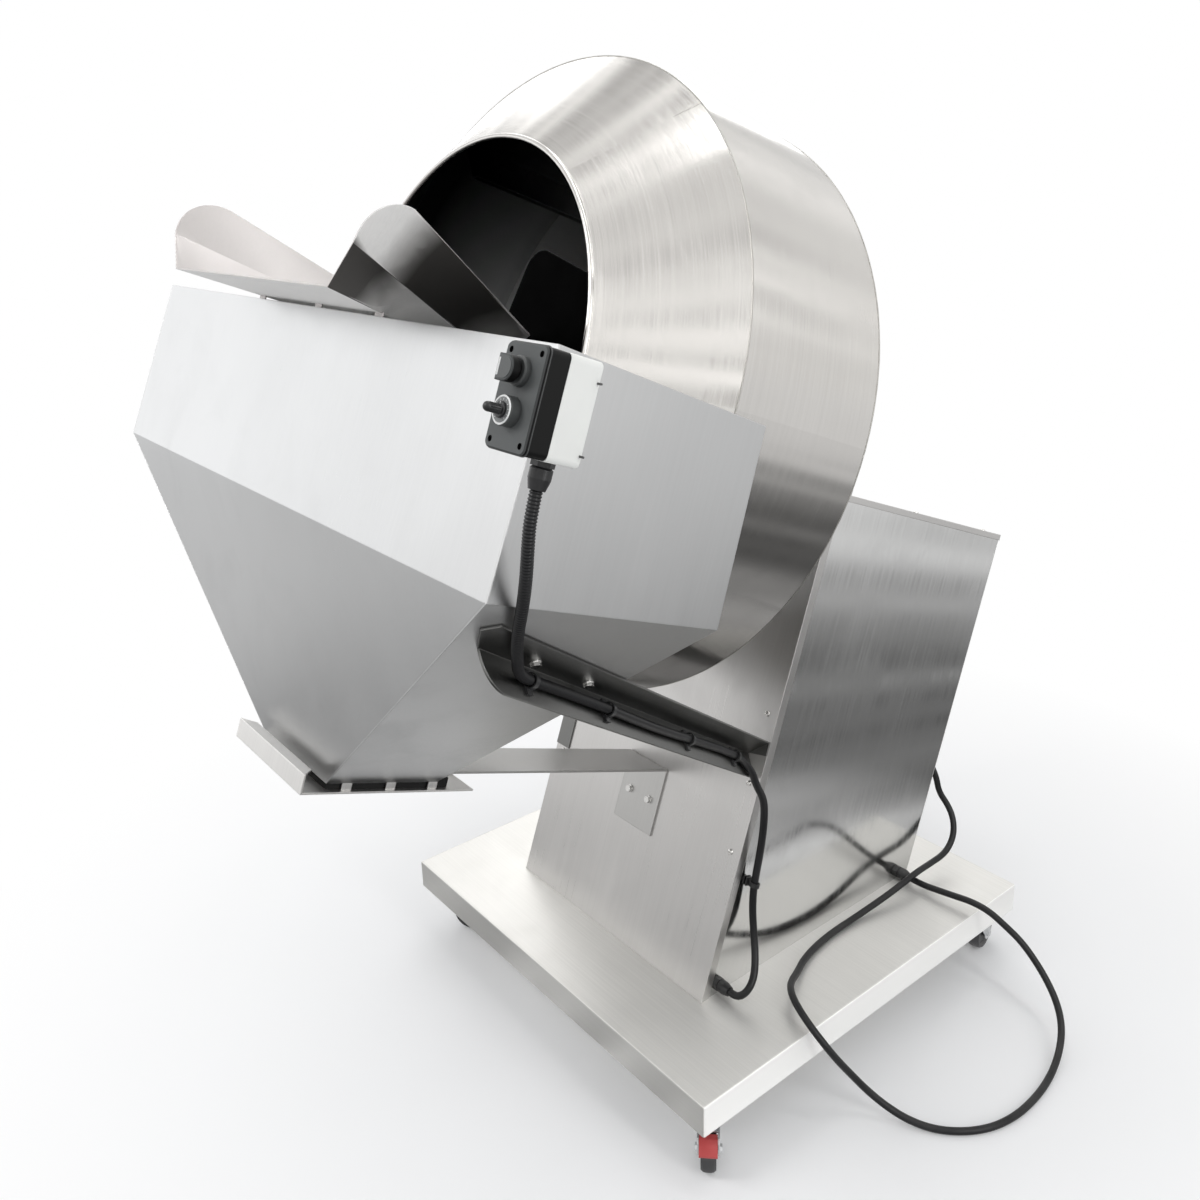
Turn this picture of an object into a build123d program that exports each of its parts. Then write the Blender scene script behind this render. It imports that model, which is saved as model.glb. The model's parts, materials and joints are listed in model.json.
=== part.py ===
from build123d import *
import os
from math import atan2, cos, degrees, hypot, pi, radians, sin, sqrt, tan

# Salt mixer: an inclined stainless drum on a wheeled cabinet, with a catch hopper and a feed chute.
# The origin is the middle of the base on the floor, +Z up, and the drum opens towards -Y.
# Most of the machine is square to the leaning front panel, so it is drawn in the panel's own
# frame: x to the right, y up along the panel from its foot, z out of the panel along the drum.

# Base tray and casters
BASE_WIDTH = 900.0
BASE_DEPTH = 900.0
BASE_HEIGHT = 60.0
BASE_SHEET = 3.0
BASE_LIP = 20.0
BASE_BEND = 4.0
CASTER_HEIGHT = 101.0
CASTER_PAD = 4.0
CASTER_INSET_X = 50.0
CASTER_INSET_Y = 60.0
WHEEL_DIAMETER = 75.0
WHEEL_WIDTH = 26.0
CASTER_TRAIL = 30.0
RAIL_SIZE = 40.0
RAIL_WALL = 3.0

# Cabinet
TILT = 20.5
PANEL_FOOT = 288.0
CABINET_WIDTH = 550.0
HOOK_X = 183.0
HOOK_WIDTH = 24.0
HOOK_SHEET = 3.0
HOOK_REACH = 40.0
HOOK_LIP = 16.0
CABINET_DEPTH = 568.0
CABINET_RISE = 956.0
SHEET = 1.5
LID_HEM = 12.0
PANEL_RETURN = 18.0
SCREW_INSET = 24.0
SCREW_PITCH = 131.0
SCREW_FIRST = 279.0
SCREW_COUNT = 3
POST_SIZE = 40.0

# Drum
DRUM_RADIUS = 502.0
MOUTH_RADIUS = 332.0
DRUM_SHEET = 2.0
AXIS_RISE = 1021.0
MOUTH_REACH = 668.0
FRONT_SEAM = 543.0
REAR_SEAM = 261.0
BACK_REACH = 136.0
RIM_WIRE = 8.0
FLIGHT_COUNT = 4
FLIGHT_HEIGHT = 85.0
FLIGHT_SHEET = 3.0
SCOOP_REACH = 653.0
SCOOP_OFFSET = 92.0
SCOOP_HALF = 202.0
SCOOP_CORNER = 35.0
SCOOP_RETURN = 12.0
SCOOP_ANGLE = -15.0

# Drive
SHAFT_DIAMETER = 50.0
BEARING_HEIGHT = 57.2
BEARING_WIDTH = 56.0
BEARING_LENGTH = 206.0
FRONT_BEARING = -42.0
REAR_BEARING = -212.0
GEAR_MIDDLE = -126.0
GEAR_DEPTH = 84.0
WORM_OFFSET = 75.0
MOTOR_DIAMETER = 158.0
MOTOR_LENGTH = 250.0
DRIVE_WIDTH = 150.0
DRIVE_HEIGHT = 230.0
DRIVE_DEPTH = 118.0
DRIVE_FIN = 22.0
DRIVE_DROP = 200.0
DRIVE_INSET = 120.0
RUNNING_GAP = 0.05
HOOD_WIDTH = 236.0
HOOD_RISE = 172.0
HOOD_DEPTH = 252.0
HUB_DIAMETER = 190.0
HUB_THICKNESS = 12.0

# Catch hopper
HOPPER_WIDTH = 1158.0
HOPPER_SHEET = 1.5
FOLD_RISE = 750.0
FOLD_REACH = 910.0
HOPPER_TOP_FRONT = 1024.0
HOPPER_TOP_BACK = 1005.0
HOPPER_LIP_REACH = 899.0
SIDE_BACK_TOP = 548.0
SIDE_BACK_FOLD = 558.0
OUTLET_WIDTH = 224.0
OUTLET_FRONT = 765.0
OUTLET_BACK = 545.0
OUTLET_RISE = 364.0
DRUM_SWEEP = 10.0

# Outlet plate, centre strap and support arms
PLATE_RISE = 350.0
PLATE_SHEET = 3.0
PLATE_WIDTH = 236.0
PLATE_FRONT = 806.0
PLATE_BACK = 505.0
PLATE_WEB = 30.0
PLATE_LIP = 20.0
STRAP_WIDTH = 109.0
STRAP_SHEET = 4.0
STRAP_LAP = 27.0
STRAP_FOOT = 136.0
STRAP_BOLT_RISE = 285.0
STRAP_BOLT_SPACING = 56.0
ARM_SHEET = 3.0
ARM_WEB = 52.0
ARM_FLANGE = 50.0
ARM_FOOT_RISE = 150.0
ARM_SLOPE = 22.56
ARM_TIP = 867.0
FOOT_PLATE_WIDTH = 40.0
FOOT_PLATE_BOTTOM = 289.0
FOOT_PLATE_TOP = 500.0

# Feed chute
CHUTE_SHEET = 2.0
CHUTE_FRONT = 1005.0
CHUTE_BACK = 660.0
CHUTE_FLOOR_RISE = 1037.0
CHUTE_FLOOR_HALF = 259.0
CHUTE_CREASE_RISE = 1089.2
CHUTE_CREASE_HALF = 295.9
CHUTE_TOP_RISE = 1171.8
CHUTE_TOP_HALF = 318.6
CHUTE_CORNER = 32.0
CHUTE_FLOOR_SPREAD = 0.603
CHUTE_FLOOR_FALL = 0.055
CHUTE_CREASE_SPREAD = 0.521
CHUTE_CREASE_FALL = 0.208
CHUTE_TOP_SPREAD = 0.374
CHUTE_TOP_FALL = 0.320
CHUTE_TAB_INSET_LEFT = 14.997
CHUTE_TAB_MIDDLE = 15.0
CHUTE_TAB_INSET_RIGHT = 2.997
CHUTE_TAB_WIDTH = 20.0

# Control station, in the panel's frame like the chute
STATION_WIDTH = 68.0
STATION_LENGTH = 106.0
STATION_LEFT = 588.0
STATION_BOTTOM = 907.0
STATION_BACK = 899.0
HOUSING_DEPTH = 40.0
COVER_DEPTH = 28.0
STATION_CORNER = 7.0
OPERATOR_COLLAR = 30.0
OPERATOR_HOLE = 22.0
OPERATOR_SEAT = 10.0
BUTTON_TRAVEL = 4.0
BUTTON_STEM = 18.0
KNOB_SHAFT = 6.0

# Cords
CONDUIT_DIAMETER = 14.0
CORD_DIAMETER = 13.0
COIL_DIAMETER = 150.0
COIL_TAIL = 62.0
GLAND_DIAMETER = 24.0
GLAND_LENGTH = 29.5
COIL_THICKNESS = 27.0
PLUG_LENGTH = 52.0
RELIEF_LENGTH = 38.0
CLIP_WIDTH = 8.0
CLIP_WALL = 1.8

# Clearances between pieces of different bodies, and between plates that only rest together
GAP = 0.3
HOLE_GAP = 0.4
M6 = 6.0
M8 = 8.0
M10 = 10.0
M12 = 12.0

# Values that follow from the sizes above
BASE_BOTTOM = CASTER_HEIGHT + CASTER_PAD
BASE_TOP = BASE_BOTTOM + BASE_HEIGHT
LEAN = radians(TILT)
HALF = CABINET_WIDTH / 2
HOPPER_HALF = HOPPER_WIDTH / 2
OUTLET_HALF = OUTLET_WIDTH / 2
PANEL = Plane(
    origin=(0, -PANEL_FOOT, BASE_TOP), x_dir=(1, 0, 0), z_dir=(0, -cos(LEAN), sin(LEAN))
).location
DRUM_FRAME = PANEL * Pos(0, AXIS_RISE, 0)


def box(x0, x1, y0, y1, z0, z1):
    """A block between two corners."""
    return Pos((x0 + x1) / 2, (y0 + y1) / 2, (z0 + z1) / 2) * Box(x1 - x0, y1 - y0, z1 - z0)


def tube_x(x0, x1, y, z, size, wall):
    """A square tube along x."""
    outer = box(x0, x1, y - size / 2, y + size / 2, z - size / 2, z + size / 2)
    inner = size - 2 * wall
    return outer - box(x0 - 1, x1 + 1, y - inner / 2, y + inner / 2, z - inner / 2, z + inner / 2)


def tube_y(y0, y1, x, z, size, wall):
    """A square tube along y."""
    outer = box(x - size / 2, x + size / 2, y0, y1, z - size / 2, z + size / 2)
    inner = size - 2 * wall
    return outer - box(x - inner / 2, x + inner / 2, y0 - 1, y1 + 1, z - inner / 2, z + inner / 2)


def tube_z(z0, z1, x, y, size, wall):
    """A square tube along z."""
    outer = box(x - size / 2, x + size / 2, y - size / 2, y + size / 2, z0, z1)
    inner = size - 2 * wall
    return outer - box(x - inner / 2, x + inner / 2, y - inner / 2, y + inner / 2, z0 - 1, z1 + 1)


def prism_x(points, x0, x1):
    """A prism along x with its outline given as (y, z) points."""
    face = make_face(Polyline([(x0, y, z) for y, z in points], close=True))
    return extrude(face, amount=x1 - x0, dir=(1, 0, 0))


def prism_y(points, y0, y1):
    """A prism along y with its outline given as (x, z) points."""
    face = make_face(Polyline([(x, y0, z) for x, z in points], close=True))
    return extrude(face, amount=y1 - y0, dir=(0, 1, 0))


def prism_z(points, z0, z1):
    """A prism along z with its outline given as (x, y) points."""
    face = make_face(Polyline([(x, y, z0) for x, y in points], close=True))
    return extrude(face, amount=z1 - z0, dir=(0, 0, 1))


def rod_x(x0, x1, y, z, diameter):
    """A round bar along x."""
    return Pos((x0 + x1) / 2, y, z) * Rot(0, 90, 0) * Cylinder(diameter / 2, x1 - x0)


def rod_y(y0, y1, x, z, diameter):
    """A round bar along y."""
    return Pos(x, (y0 + y1) / 2, z) * Rot(90, 0, 0) * Cylinder(diameter / 2, y1 - y0)


def rod_z(z0, z1, x, y, diameter):
    """A round bar along z."""
    return Pos(x, y, (z0 + z1) / 2) * Cylinder(diameter / 2, z1 - z0)


def revolve_z(points):
    """A body of revolution about z, with its outline given as (radius, z) points."""
    face = make_face(Polyline([(r, 0, z) for r, z in points], close=True))
    return revolve(face, axis=Axis.Z)


def mirrored(shape):
    """The same shape on the other side of the machine's middle plane."""
    return mirror(shape, about=Plane.YZ)


def cut_above(shape, point, normal):
    """What is left of a shape behind a plane, on the side away from its normal."""
    return split(shape, bisect_by=Plane(origin=point, z_dir=normal), keep=Keep.BOTTOM)


def drilled(shape, seats, diameter, depth=200.0):
    """The shape with a hole along each seat's z axis, both ways from the seat."""
    for seat in seats:
        shape -= seat * Cylinder((diameter + HOLE_GAP) / 2, 2 * depth)
    return shape


def solids_of(*shapes):
    """One group of separate solids."""
    found = []
    for shape in shapes:
        found += list(shape.solids())
    return Compound(children=found)


def save(shape, name):
    """Writes one node."""
    export_step(shape, "parts/" + name + ".step")


def hex_screw(diameter, grip, head=None, washer=True):
    """A hexagon screw along -z from its seat at z = 0, with its washer."""
    head_width = head or diameter * 1.6
    shape = extrude(RegularPolygon(head_width / 2 * 1.1, 6), diameter * 0.6)
    lift = 0.0
    if washer:
        lift = diameter * 0.2
        shape = Pos(0, 0, lift) * shape + Pos(0, 0, lift / 2) * Cylinder(diameter, lift)
    return shape + Pos(0, 0, -grip / 2) * Cylinder(diameter / 2, grip)


def pan_screw(diameter, grip):
    """A domed screw along -z from its seat at z = 0."""
    radius = diameter * 0.9
    rise = diameter * 0.5
    dome = revolve_z([(0, 0), (radius, 0), (radius, rise * 0.45), (radius * 0.6, rise), (0, rise)])
    return dome + Pos(0, 0, -grip / 2) * Cylinder(diameter / 2, grip)


# Base

def base_tray():
    """The folded tray that carries everything, open underneath."""
    outer = box(-BASE_WIDTH / 2, BASE_WIDTH / 2, -BASE_DEPTH / 2, BASE_DEPTH / 2, BASE_BOTTOM, BASE_TOP)
    outer = fillet(outer.edges().filter_by(Axis.Z), BASE_BEND)
    outer = fillet(outer.faces().sort_by(Axis.Z)[-1].edges(), BASE_BEND - 1)
    inner = box(
        -BASE_WIDTH / 2 + BASE_SHEET, BASE_WIDTH / 2 - BASE_SHEET,
        -BASE_DEPTH / 2 + BASE_SHEET, BASE_DEPTH / 2 - BASE_SHEET,
        BASE_BOTTOM + BASE_SHEET, BASE_TOP - BASE_SHEET,
    )
    mouth = box(
        -BASE_WIDTH / 2 + BASE_LIP, BASE_WIDTH / 2 - BASE_LIP,
        -BASE_DEPTH / 2 + BASE_LIP, BASE_DEPTH / 2 - BASE_LIP,
        BASE_BOTTOM - 1, BASE_BOTTOM + BASE_SHEET + 1,
    )
    return outer - inner - mouth


def caster_places():
    """The four pivots, as name and (x, y), with the way that each wheel trails in degrees."""
    x = BASE_WIDTH / 2 - CASTER_INSET_X
    y = BASE_DEPTH / 2 - CASTER_INSET_Y
    return [
        ("fl", -x, -y, 40.0),
        ("fr", x, -y, -45.0),
        ("rl", -x, y, 70.0),
        ("rr", x, y, 100.0),
    ]


def base_frame():
    """Square tubes under the tray with a pad over each caster."""
    level = BASE_TOP - BASE_SHEET - RAIL_SIZE / 2
    reach_y = BASE_DEPTH / 2 - BASE_SHEET - GAP
    rail_x = BASE_WIDTH / 2 - CASTER_INSET_X
    shape = tube_y(-reach_y, reach_y, rail_x, level, RAIL_SIZE, RAIL_WALL)
    shape += tube_y(-reach_y, reach_y, -rail_x, level, RAIL_SIZE, RAIL_WALL)
    span = rail_x - RAIL_SIZE / 2
    end = BASE_DEPTH / 2 - CASTER_INSET_Y
    for y in (-end, -BASE_DEPTH / 6, BASE_DEPTH / 6, end):
        shape += tube_x(-span, span, y, level, RAIL_SIZE, RAIL_WALL)
    pad_x = CASTER_INSET_X - 5.0
    pad_y = CASTER_INSET_Y - 5.0
    stand = RAIL_SIZE / 2
    for name, x, y, trail in caster_places():
        shape += box(x - stand, x + stand, y - pad_y + 20, y + pad_y - 20, BASE_BOTTOM, level - stand)
        shape += box(x - pad_x, x + pad_x, y - pad_y, y + pad_y, CASTER_HEIGHT, BASE_BOTTOM)
    return shape


# Casters, drawn about the pivot with the wheel trailing along +x and the floor at z = 0

AXLE_RISE = WHEEL_DIAMETER / 2
TOP_PLATE = 3.0
FORK_SHEET = 3.0
RACE_DIAMETER = 54.0
KINGPIN = 10.0
AXLE = 8.0
LEG_REACH = 13.0
CROWN_TOP = CASTER_HEIGHT - TOP_PLATE - 12.0
LEG_INSIDE = WHEEL_WIDTH / 2 + 3.0
PEDAL_HINGE_X = CASTER_TRAIL + 24.0
PEDAL_HINGE_Z = CROWN_TOP - 6.0
PEDAL_PIN = 5.0


def caster_plate():
    """The plate that is bolted to the base, with the fixed race and the kingpin."""
    plate = box(-42, 42, -31, 31, CASTER_HEIGHT - TOP_PLATE, CASTER_HEIGHT)
    plate = fillet(plate.edges().filter_by(Axis.Z), 6)
    for x in (-31, 31):
        for y in (-21, 21):
            plate -= rod_z(CASTER_HEIGHT - TOP_PLATE - 1, CASTER_HEIGHT + 1, x, y, M8 + 0.5)
    race_bottom = CASTER_HEIGHT - TOP_PLATE - 1.5
    plate += rod_z(race_bottom, CASTER_HEIGHT - TOP_PLATE, 0, 0, RACE_DIAMETER - 12)
    low = CROWN_TOP - FORK_SHEET - GAP
    plate += rod_z(low, CASTER_HEIGHT - TOP_PLATE, 0, 0, KINGPIN)
    return plate + rod_z(low - 3, low, 0, 0, KINGPIN + 6)


def caster_fork(with_brake):
    """The pressed fork with its ball race and the axle, as two solids."""
    crown_low = CROWN_TOP - FORK_SHEET
    outside = LEG_INSIDE + FORK_SHEET
    crown = box(-20, CASTER_TRAIL + 14, -outside, outside, crown_low, CROWN_TOP)
    crown += rod_z(crown_low, CROWN_TOP, 0, 0, RACE_DIAMETER)
    race_top = CASTER_HEIGHT - TOP_PLATE - 1.5 - GAP
    crown += rod_z(CROWN_TOP, race_top, 0, 0, RACE_DIAMETER)
    crown -= rod_z(crown_low - 1, race_top + 1, 0, 0, KINGPIN + 2 * GAP)
    leg_outline = [
        (-20, CROWN_TOP),
        (CASTER_TRAIL + 14, CROWN_TOP),
        (CASTER_TRAIL + LEG_REACH, AXLE_RISE),
        (CASTER_TRAIL - LEG_REACH, AXLE_RISE),
    ]
    fork = crown
    for side in (-1, 1):
        y0, y1 = sorted((side * LEG_INSIDE, side * outside))
        leg = prism_y(leg_outline, y0, y1)
        leg += rod_y(y0, y1, CASTER_TRAIL, AXLE_RISE, 2 * LEG_REACH)
        leg -= rod_y(y0 - 1, y1 + 1, CASTER_TRAIL, AXLE_RISE, AXLE + 2 * RUNNING_GAP)
        if with_brake:
            ear = box(CASTER_TRAIL + 12, PEDAL_HINGE_X + 6, y0, y1, PEDAL_HINGE_Z - 6, CROWN_TOP)
            ear -= rod_y(y0 - 1, y1 + 1, PEDAL_HINGE_X, PEDAL_HINGE_Z, PEDAL_PIN)
            leg += ear
        fork += leg
    nut = outside + 4
    axle = rod_y(-outside, outside, CASTER_TRAIL, AXLE_RISE, AXLE)
    for side in (-1, 1):
        y0, y1 = sorted((side * outside, side * nut))
        head = Pos(CASTER_TRAIL, side * (outside + nut) / 2, AXLE_RISE) * Rot(90, 0, 0)
        axle += head * extrude(RegularPolygon(7, 6), (nut - outside) / 2, both=True)
    pieces = [fork, axle]
    if with_brake:
        pieces.append(rod_y(-outside, outside, PEDAL_HINGE_X, PEDAL_HINGE_Z, PEDAL_PIN))
    return pieces


def caster_wheel():
    """The tyre and hub, turned about the axle."""
    half = WHEEL_WIDTH / 2
    rim = WHEEL_DIAMETER / 2
    boss = half + 2.5
    profile = [
        (AXLE / 2 + 0.1, -boss), (9, -boss), (9, -half + 3), (rim - 12, -half + 4), (rim - 10, -half),
        (rim - 4, -half), (rim - 1, -half + 4), (rim, -half + 8), (rim, half - 8), (rim - 1, half - 4),
        (rim - 4, half), (rim - 10, half), (rim - 12, half - 4), (9, half - 3), (9, boss),
        (AXLE / 2 + 0.1, boss),
    ]
    return Pos(CASTER_TRAIL, 0, AXLE_RISE) * Rot(90, 0, 0) * revolve_z(profile)


def caster_pedal():
    """The brake pedal with its shoe over the wheel."""
    half = LEG_INSIDE - 0.5
    plate = prism_y(
        [
            (PEDAL_HINGE_X - 6, PEDAL_HINGE_Z + 4), (PEDAL_HINGE_X + 5, PEDAL_HINGE_Z + 4),
            (PEDAL_HINGE_X + 32, PEDAL_HINGE_Z - 4), (PEDAL_HINGE_X + 31, PEDAL_HINGE_Z - 8),
            (PEDAL_HINGE_X + 4, PEDAL_HINGE_Z - 4), (PEDAL_HINGE_X - 4, PEDAL_HINGE_Z - 7),
            (PEDAL_HINGE_X - 6, PEDAL_HINGE_Z - 4),
        ],
        -half, half,
    )
    bore = rod_y(-half - 1, half + 1, PEDAL_HINGE_X, PEDAL_HINGE_Z, PEDAL_PIN + 2 * RUNNING_GAP)
    return plate - bore


# Cabinet, in the panel's frame. Its foot is cut level with the base top.

def base_line(z):
    """The height along the panel at which the base top lies, z out from the panel."""
    return -z * tan(LEAN)


BACK = -CABINET_DEPTH


def side_panel():
    """The right side panel with the flanges that the front, the back and the lid lie on."""
    outer = HALF - SHEET
    skin = prism_x(
        [(base_line(-SHEET), -SHEET), (CABINET_RISE - SHEET, -SHEET),
         (CABINET_RISE - SHEET, BACK + SHEET), (base_line(BACK + SHEET), BACK + SHEET)],
        outer - SHEET, outer,
    )
    flange = 34.0
    front = prism_x(
        [(base_line(-SHEET), -SHEET), (CABINET_RISE - SHEET, -SHEET),
         (CABINET_RISE - SHEET, -2 * SHEET), (base_line(-2 * SHEET), -2 * SHEET)],
        outer - flange, outer,
    )
    rear = prism_x(
        [(base_line(BACK + 2 * SHEET), BACK + 2 * SHEET), (CABINET_RISE - SHEET, BACK + 2 * SHEET),
         (CABINET_RISE - SHEET, BACK + SHEET), (base_line(BACK + SHEET), BACK + SHEET)],
        outer - flange, outer,
    )
    top = prism_x(
        [(CABINET_RISE - SHEET, -SHEET), (CABINET_RISE - SHEET, BACK + SHEET),
         (CABINET_RISE - 2 * SHEET, BACK + SHEET), (CABINET_RISE - 2 * SHEET, -SHEET)],
        outer - flange, outer,
    )
    return drilled(skin + front + rear + top, panel_seats(1) + lid_seats(1), M6, 20)


def panel_seats(side):
    """The seats of the front panel's screws on one side, 1 for right and -1 for left."""
    seats = []
    for i in range(SCREW_COUNT):
        y = SCREW_FIRST + SCREW_PITCH * i
        on_foot = side < 0 and FOOT_PLATE_BOTTOM < y < FOOT_PLATE_TOP
        seats.append(Pos(side * (HALF - SCREW_INSET), y, ARM_SHEET if on_foot else 0))
    return seats


def lid_seats(side):
    """The seats of the lid's screws on one side."""
    x = side * (HALF - SCREW_INSET)
    return [Pos(x, CABINET_RISE, z) * Rot(-90, 0, 0) for z in (BACK + 32.0, BACK / 2)]


def hood_seats(side):
    """The seats of the hood's screws on one side."""
    x = side * (HOOD_WIDTH + HOOD_FLANGE) / 2
    return [Pos(x, CABINET_RISE + SHEET, z) * Rot(-90, 0, 0) for z in (-HOOD_DEPTH + 40.0, -40.0)]


def strap_seats():
    """The seats of the two bolts of the centre strap."""
    return [Pos(x, STRAP_BOLT_RISE, STRAP_SHEET) for x in (-STRAP_BOLT_SPACING / 2, STRAP_BOLT_SPACING / 2)]


def bearing_seats():
    """The seats of the four bearing bolts."""
    spots = [(x, z) for x in (-BEARING_BOLT, BEARING_BOLT) for z in (FRONT_BEARING, REAR_BEARING)]
    return [Pos(x, PLATE_TOP + BEARING_FOOT, z) * Rot(-90, 0, 0) for x, z in spots]


def hub_seats():
    """The seats of the six hub bolts, inside the drum's back."""
    circle = HUB_DIAMETER / 2 - 16
    turns = [radians(60.0 * i + 30) for i in range(6)]
    return [Pos(circle * cos(turn), circle * sin(turn), BACK_REACH + DRUM_SHEET) for turn in turns]


def arm_seats():
    """The seats of the right arm's bolts on its web."""
    out = facet_axes()[1]
    places = [facet_point(z, u, GAP + ARM_SHEET) for z, u in ARM_BOLTS]
    return [Plane(origin=place, z_dir=out).location for place in places]


def front_panel():
    """The front panel, with a return along each side that laps the side panels."""
    face = prism_x(
        [(0, 0), (CABINET_RISE - SHEET, 0), (CABINET_RISE - SHEET, -SHEET), (base_line(-SHEET), -SHEET)],
        -HALF, HALF,
    )
    lap = prism_x(
        [(0, 0), (CABINET_RISE - LID_HEM - GAP - SHEET, 0),
         (CABINET_RISE - LID_HEM - GAP - SHEET, -PANEL_RETURN),
         (base_line(-PANEL_RETURN), -PANEL_RETURN)],
        HALF - SHEET, HALF,
    )
    panel = face + lap + mirrored(lap)
    panel = drilled(panel, panel_seats(1) + panel_seats(-1), M6, 20)
    return drilled(panel, strap_seats(), M8, 20)


def back_cover():
    """The back cover with rows of cooling slots."""
    foot = base_line(BACK + SHEET)
    face = prism_x(
        [(base_line(BACK), BACK), (CABINET_RISE - SHEET, BACK),
         (CABINET_RISE - SHEET, BACK + SHEET), (foot, BACK + SHEET)],
        -HALF + SHEET, HALF - SHEET,
    )
    slot_rows = 7
    slot_pitch = 18.0
    slot_length = 120.0
    slot_width = 6.0
    for row in range(slot_rows):
        y = CABINET_RISE - 140.0 - row * slot_pitch
        for x in (-slot_length * 0.75, slot_length * 0.75):
            slot = Pos(x, y, BACK) * extrude(SlotOverall(slot_length, slot_width), 3 * SHEET, both=True)
            face -= slot
    return face


def lid():
    """The top cover with its turned-down hems and the opening for the drive."""
    top = box(-HALF, HALF, CABINET_RISE - SHEET, CABINET_RISE, BACK, 0)
    hem_low = CABINET_RISE - LID_HEM
    hem = box(HALF - SHEET, HALF, hem_low, CABINET_RISE, BACK, -SHEET)
    back_hem = box(-HALF, HALF, hem_low, CABINET_RISE, BACK - SHEET, BACK)
    front_hem = box(-HALF, HALF, hem_low, CABINET_RISE, 0, SHEET)
    opening = box(
        -HOOD_WIDTH / 2 + 10, HOOD_WIDTH / 2 - 10, CABINET_RISE - 2 * SHEET, CABINET_RISE + 1,
        -HOOD_DEPTH + 8, -10,
    )
    cover = top + hem + mirrored(hem) + back_hem + front_hem - opening
    seats = lid_seats(1) + lid_seats(-1) + hood_seats(1) + hood_seats(-1)
    return drilled(cover, seats, M6, 20)


def cover_screws():
    """The screws of the front panel, the lid and the hood."""
    long_grip = 2 * SHEET + ARM_SHEET + 4
    short_grip = 2 * SHEET + 0.5
    pieces = []
    for side in (-1, 1):
        pieces += [seat * pan_screw(M6, long_grip) for seat in panel_seats(side) + lid_seats(side)]
        pieces += [seat * pan_screw(M6, short_grip) for seat in hood_seats(side)]
    return pieces


def inner_frame():
    """The welded posts and beams inside the cabinet that carry the drive."""
    size = POST_SIZE
    wall = RAIL_WALL
    clear = 2 * SHEET + GAP
    post_x = HALF - SHEET - 34.0 - size / 2 - 1.0
    front_z = -clear - size / 2
    back_z = BACK + clear + size / 2
    top = CABINET_RISE - SHEET - GAP
    beam_y = AXIS_RISE - BEARING_HEIGHT - BEARING_PLATE - size / 2
    shape = None
    for x in (-post_x, post_x):
        for z in (front_z, REAR_BEARING, back_z):
            low = base_line(z) - size
            post = tube_y(low, beam_y + size / 2, x, z, size, wall)
            shape = post if shape is None else shape + post
    shape = cut_above(shape, (0, 0, 0), (0, -cos(LEAN), -sin(LEAN)))
    span = post_x - size / 2
    for z in (front_z, REAR_BEARING, back_z):
        shape += tube_x(-span, span, beam_y, z, size, wall)
    for x in (-post_x, post_x):
        for z0, z1 in ((back_z, REAR_BEARING), (REAR_BEARING, front_z)):
            shape += tube_z(z0 + size / 2, z1 - size / 2, x, beam_y, size, wall)
    return shape


# Drive

BEARING_PLATE = 10.0
BEARING_FOOT = 20.0
BEARING_BOLT = 79.5
HOOD_FLANGE = 18.0
PLATE_TOP = AXIS_RISE - BEARING_HEIGHT


def bearing_plates():
    """Two plates on the top beams that carry the bearings."""
    half = HOOD_WIDTH / 2 - 11
    front = box(-half, half, PLATE_TOP - BEARING_PLATE, PLATE_TOP, -72, -11)
    rear = box(-half, half, PLATE_TOP - BEARING_PLATE, PLATE_TOP, -242, -182)
    return [drilled(front, bearing_seats(), M12, 60), drilled(rear, bearing_seats(), M12, 60)]


def bearing(z):
    """A pillow block: foot, housing and inner ring, as two solids."""
    half = BEARING_WIDTH / 2
    foot = box(
        -BEARING_LENGTH / 2, BEARING_LENGTH / 2, PLATE_TOP, PLATE_TOP + BEARING_FOOT, z - half, z + half
    )
    foot = fillet(foot.edges().filter_by(Axis.Y), 12)
    house = rod_z(z - half * 0.8, z + half * 0.8, 0, AXIS_RISE, 108)
    shoulders = prism_z(
        [(-64, PLATE_TOP + 18), (-52, AXIS_RISE + 15), (52, AXIS_RISE + 15), (64, PLATE_TOP + 18)],
        z - half * 0.7, z + half * 0.7,
    )
    ring_size = SHAFT_DIAMETER + 22
    bore = rod_z(z - half - 5, z + half + 5, 0, AXIS_RISE, ring_size)
    housing = drilled(foot + house + shoulders - bore, bearing_seats(), M12, 60)
    ring = rod_z(z - half, z + half, 0, AXIS_RISE, ring_size)
    ring -= rod_z(z - half - 1, z + half + 1, 0, AXIS_RISE, SHAFT_DIAMETER + 2 * RUNNING_GAP)
    return [housing, ring]


def gearbox():
    """The worm gearbox on the shaft, with ribs on its sides."""
    half = GEAR_DEPTH / 2
    z0, z1 = GEAR_MIDDLE - half, GEAR_MIDDLE + half
    body = rod_z(z0, z1, 0, AXIS_RISE, 140)
    body += box(WORM_OFFSET - 38, WORM_OFFSET + 30, AXIS_RISE - 92, AXIS_RISE + 60, z0 + 8, z1 - 8)
    body += box(0, WORM_OFFSET, AXIS_RISE - 60, AXIS_RISE + 60, z0 + 4, z1 - 4)
    for y in (-45, -15, 15, 45):
        rise = AXIS_RISE + y
        body += box(WORM_OFFSET + 28, WORM_OFFSET + 34, rise - 2, rise + 2, z0 + 10, z1 - 10)
    flange_low = AXIS_RISE - 104
    body += rod_y(flange_low, AXIS_RISE - 90, WORM_OFFSET - 4, GEAR_MIDDLE, 120)
    body -= rod_z(z0 - 1, z1 + 1, 0, AXIS_RISE, SHAFT_DIAMETER + 2 * RUNNING_GAP)
    return body


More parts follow.
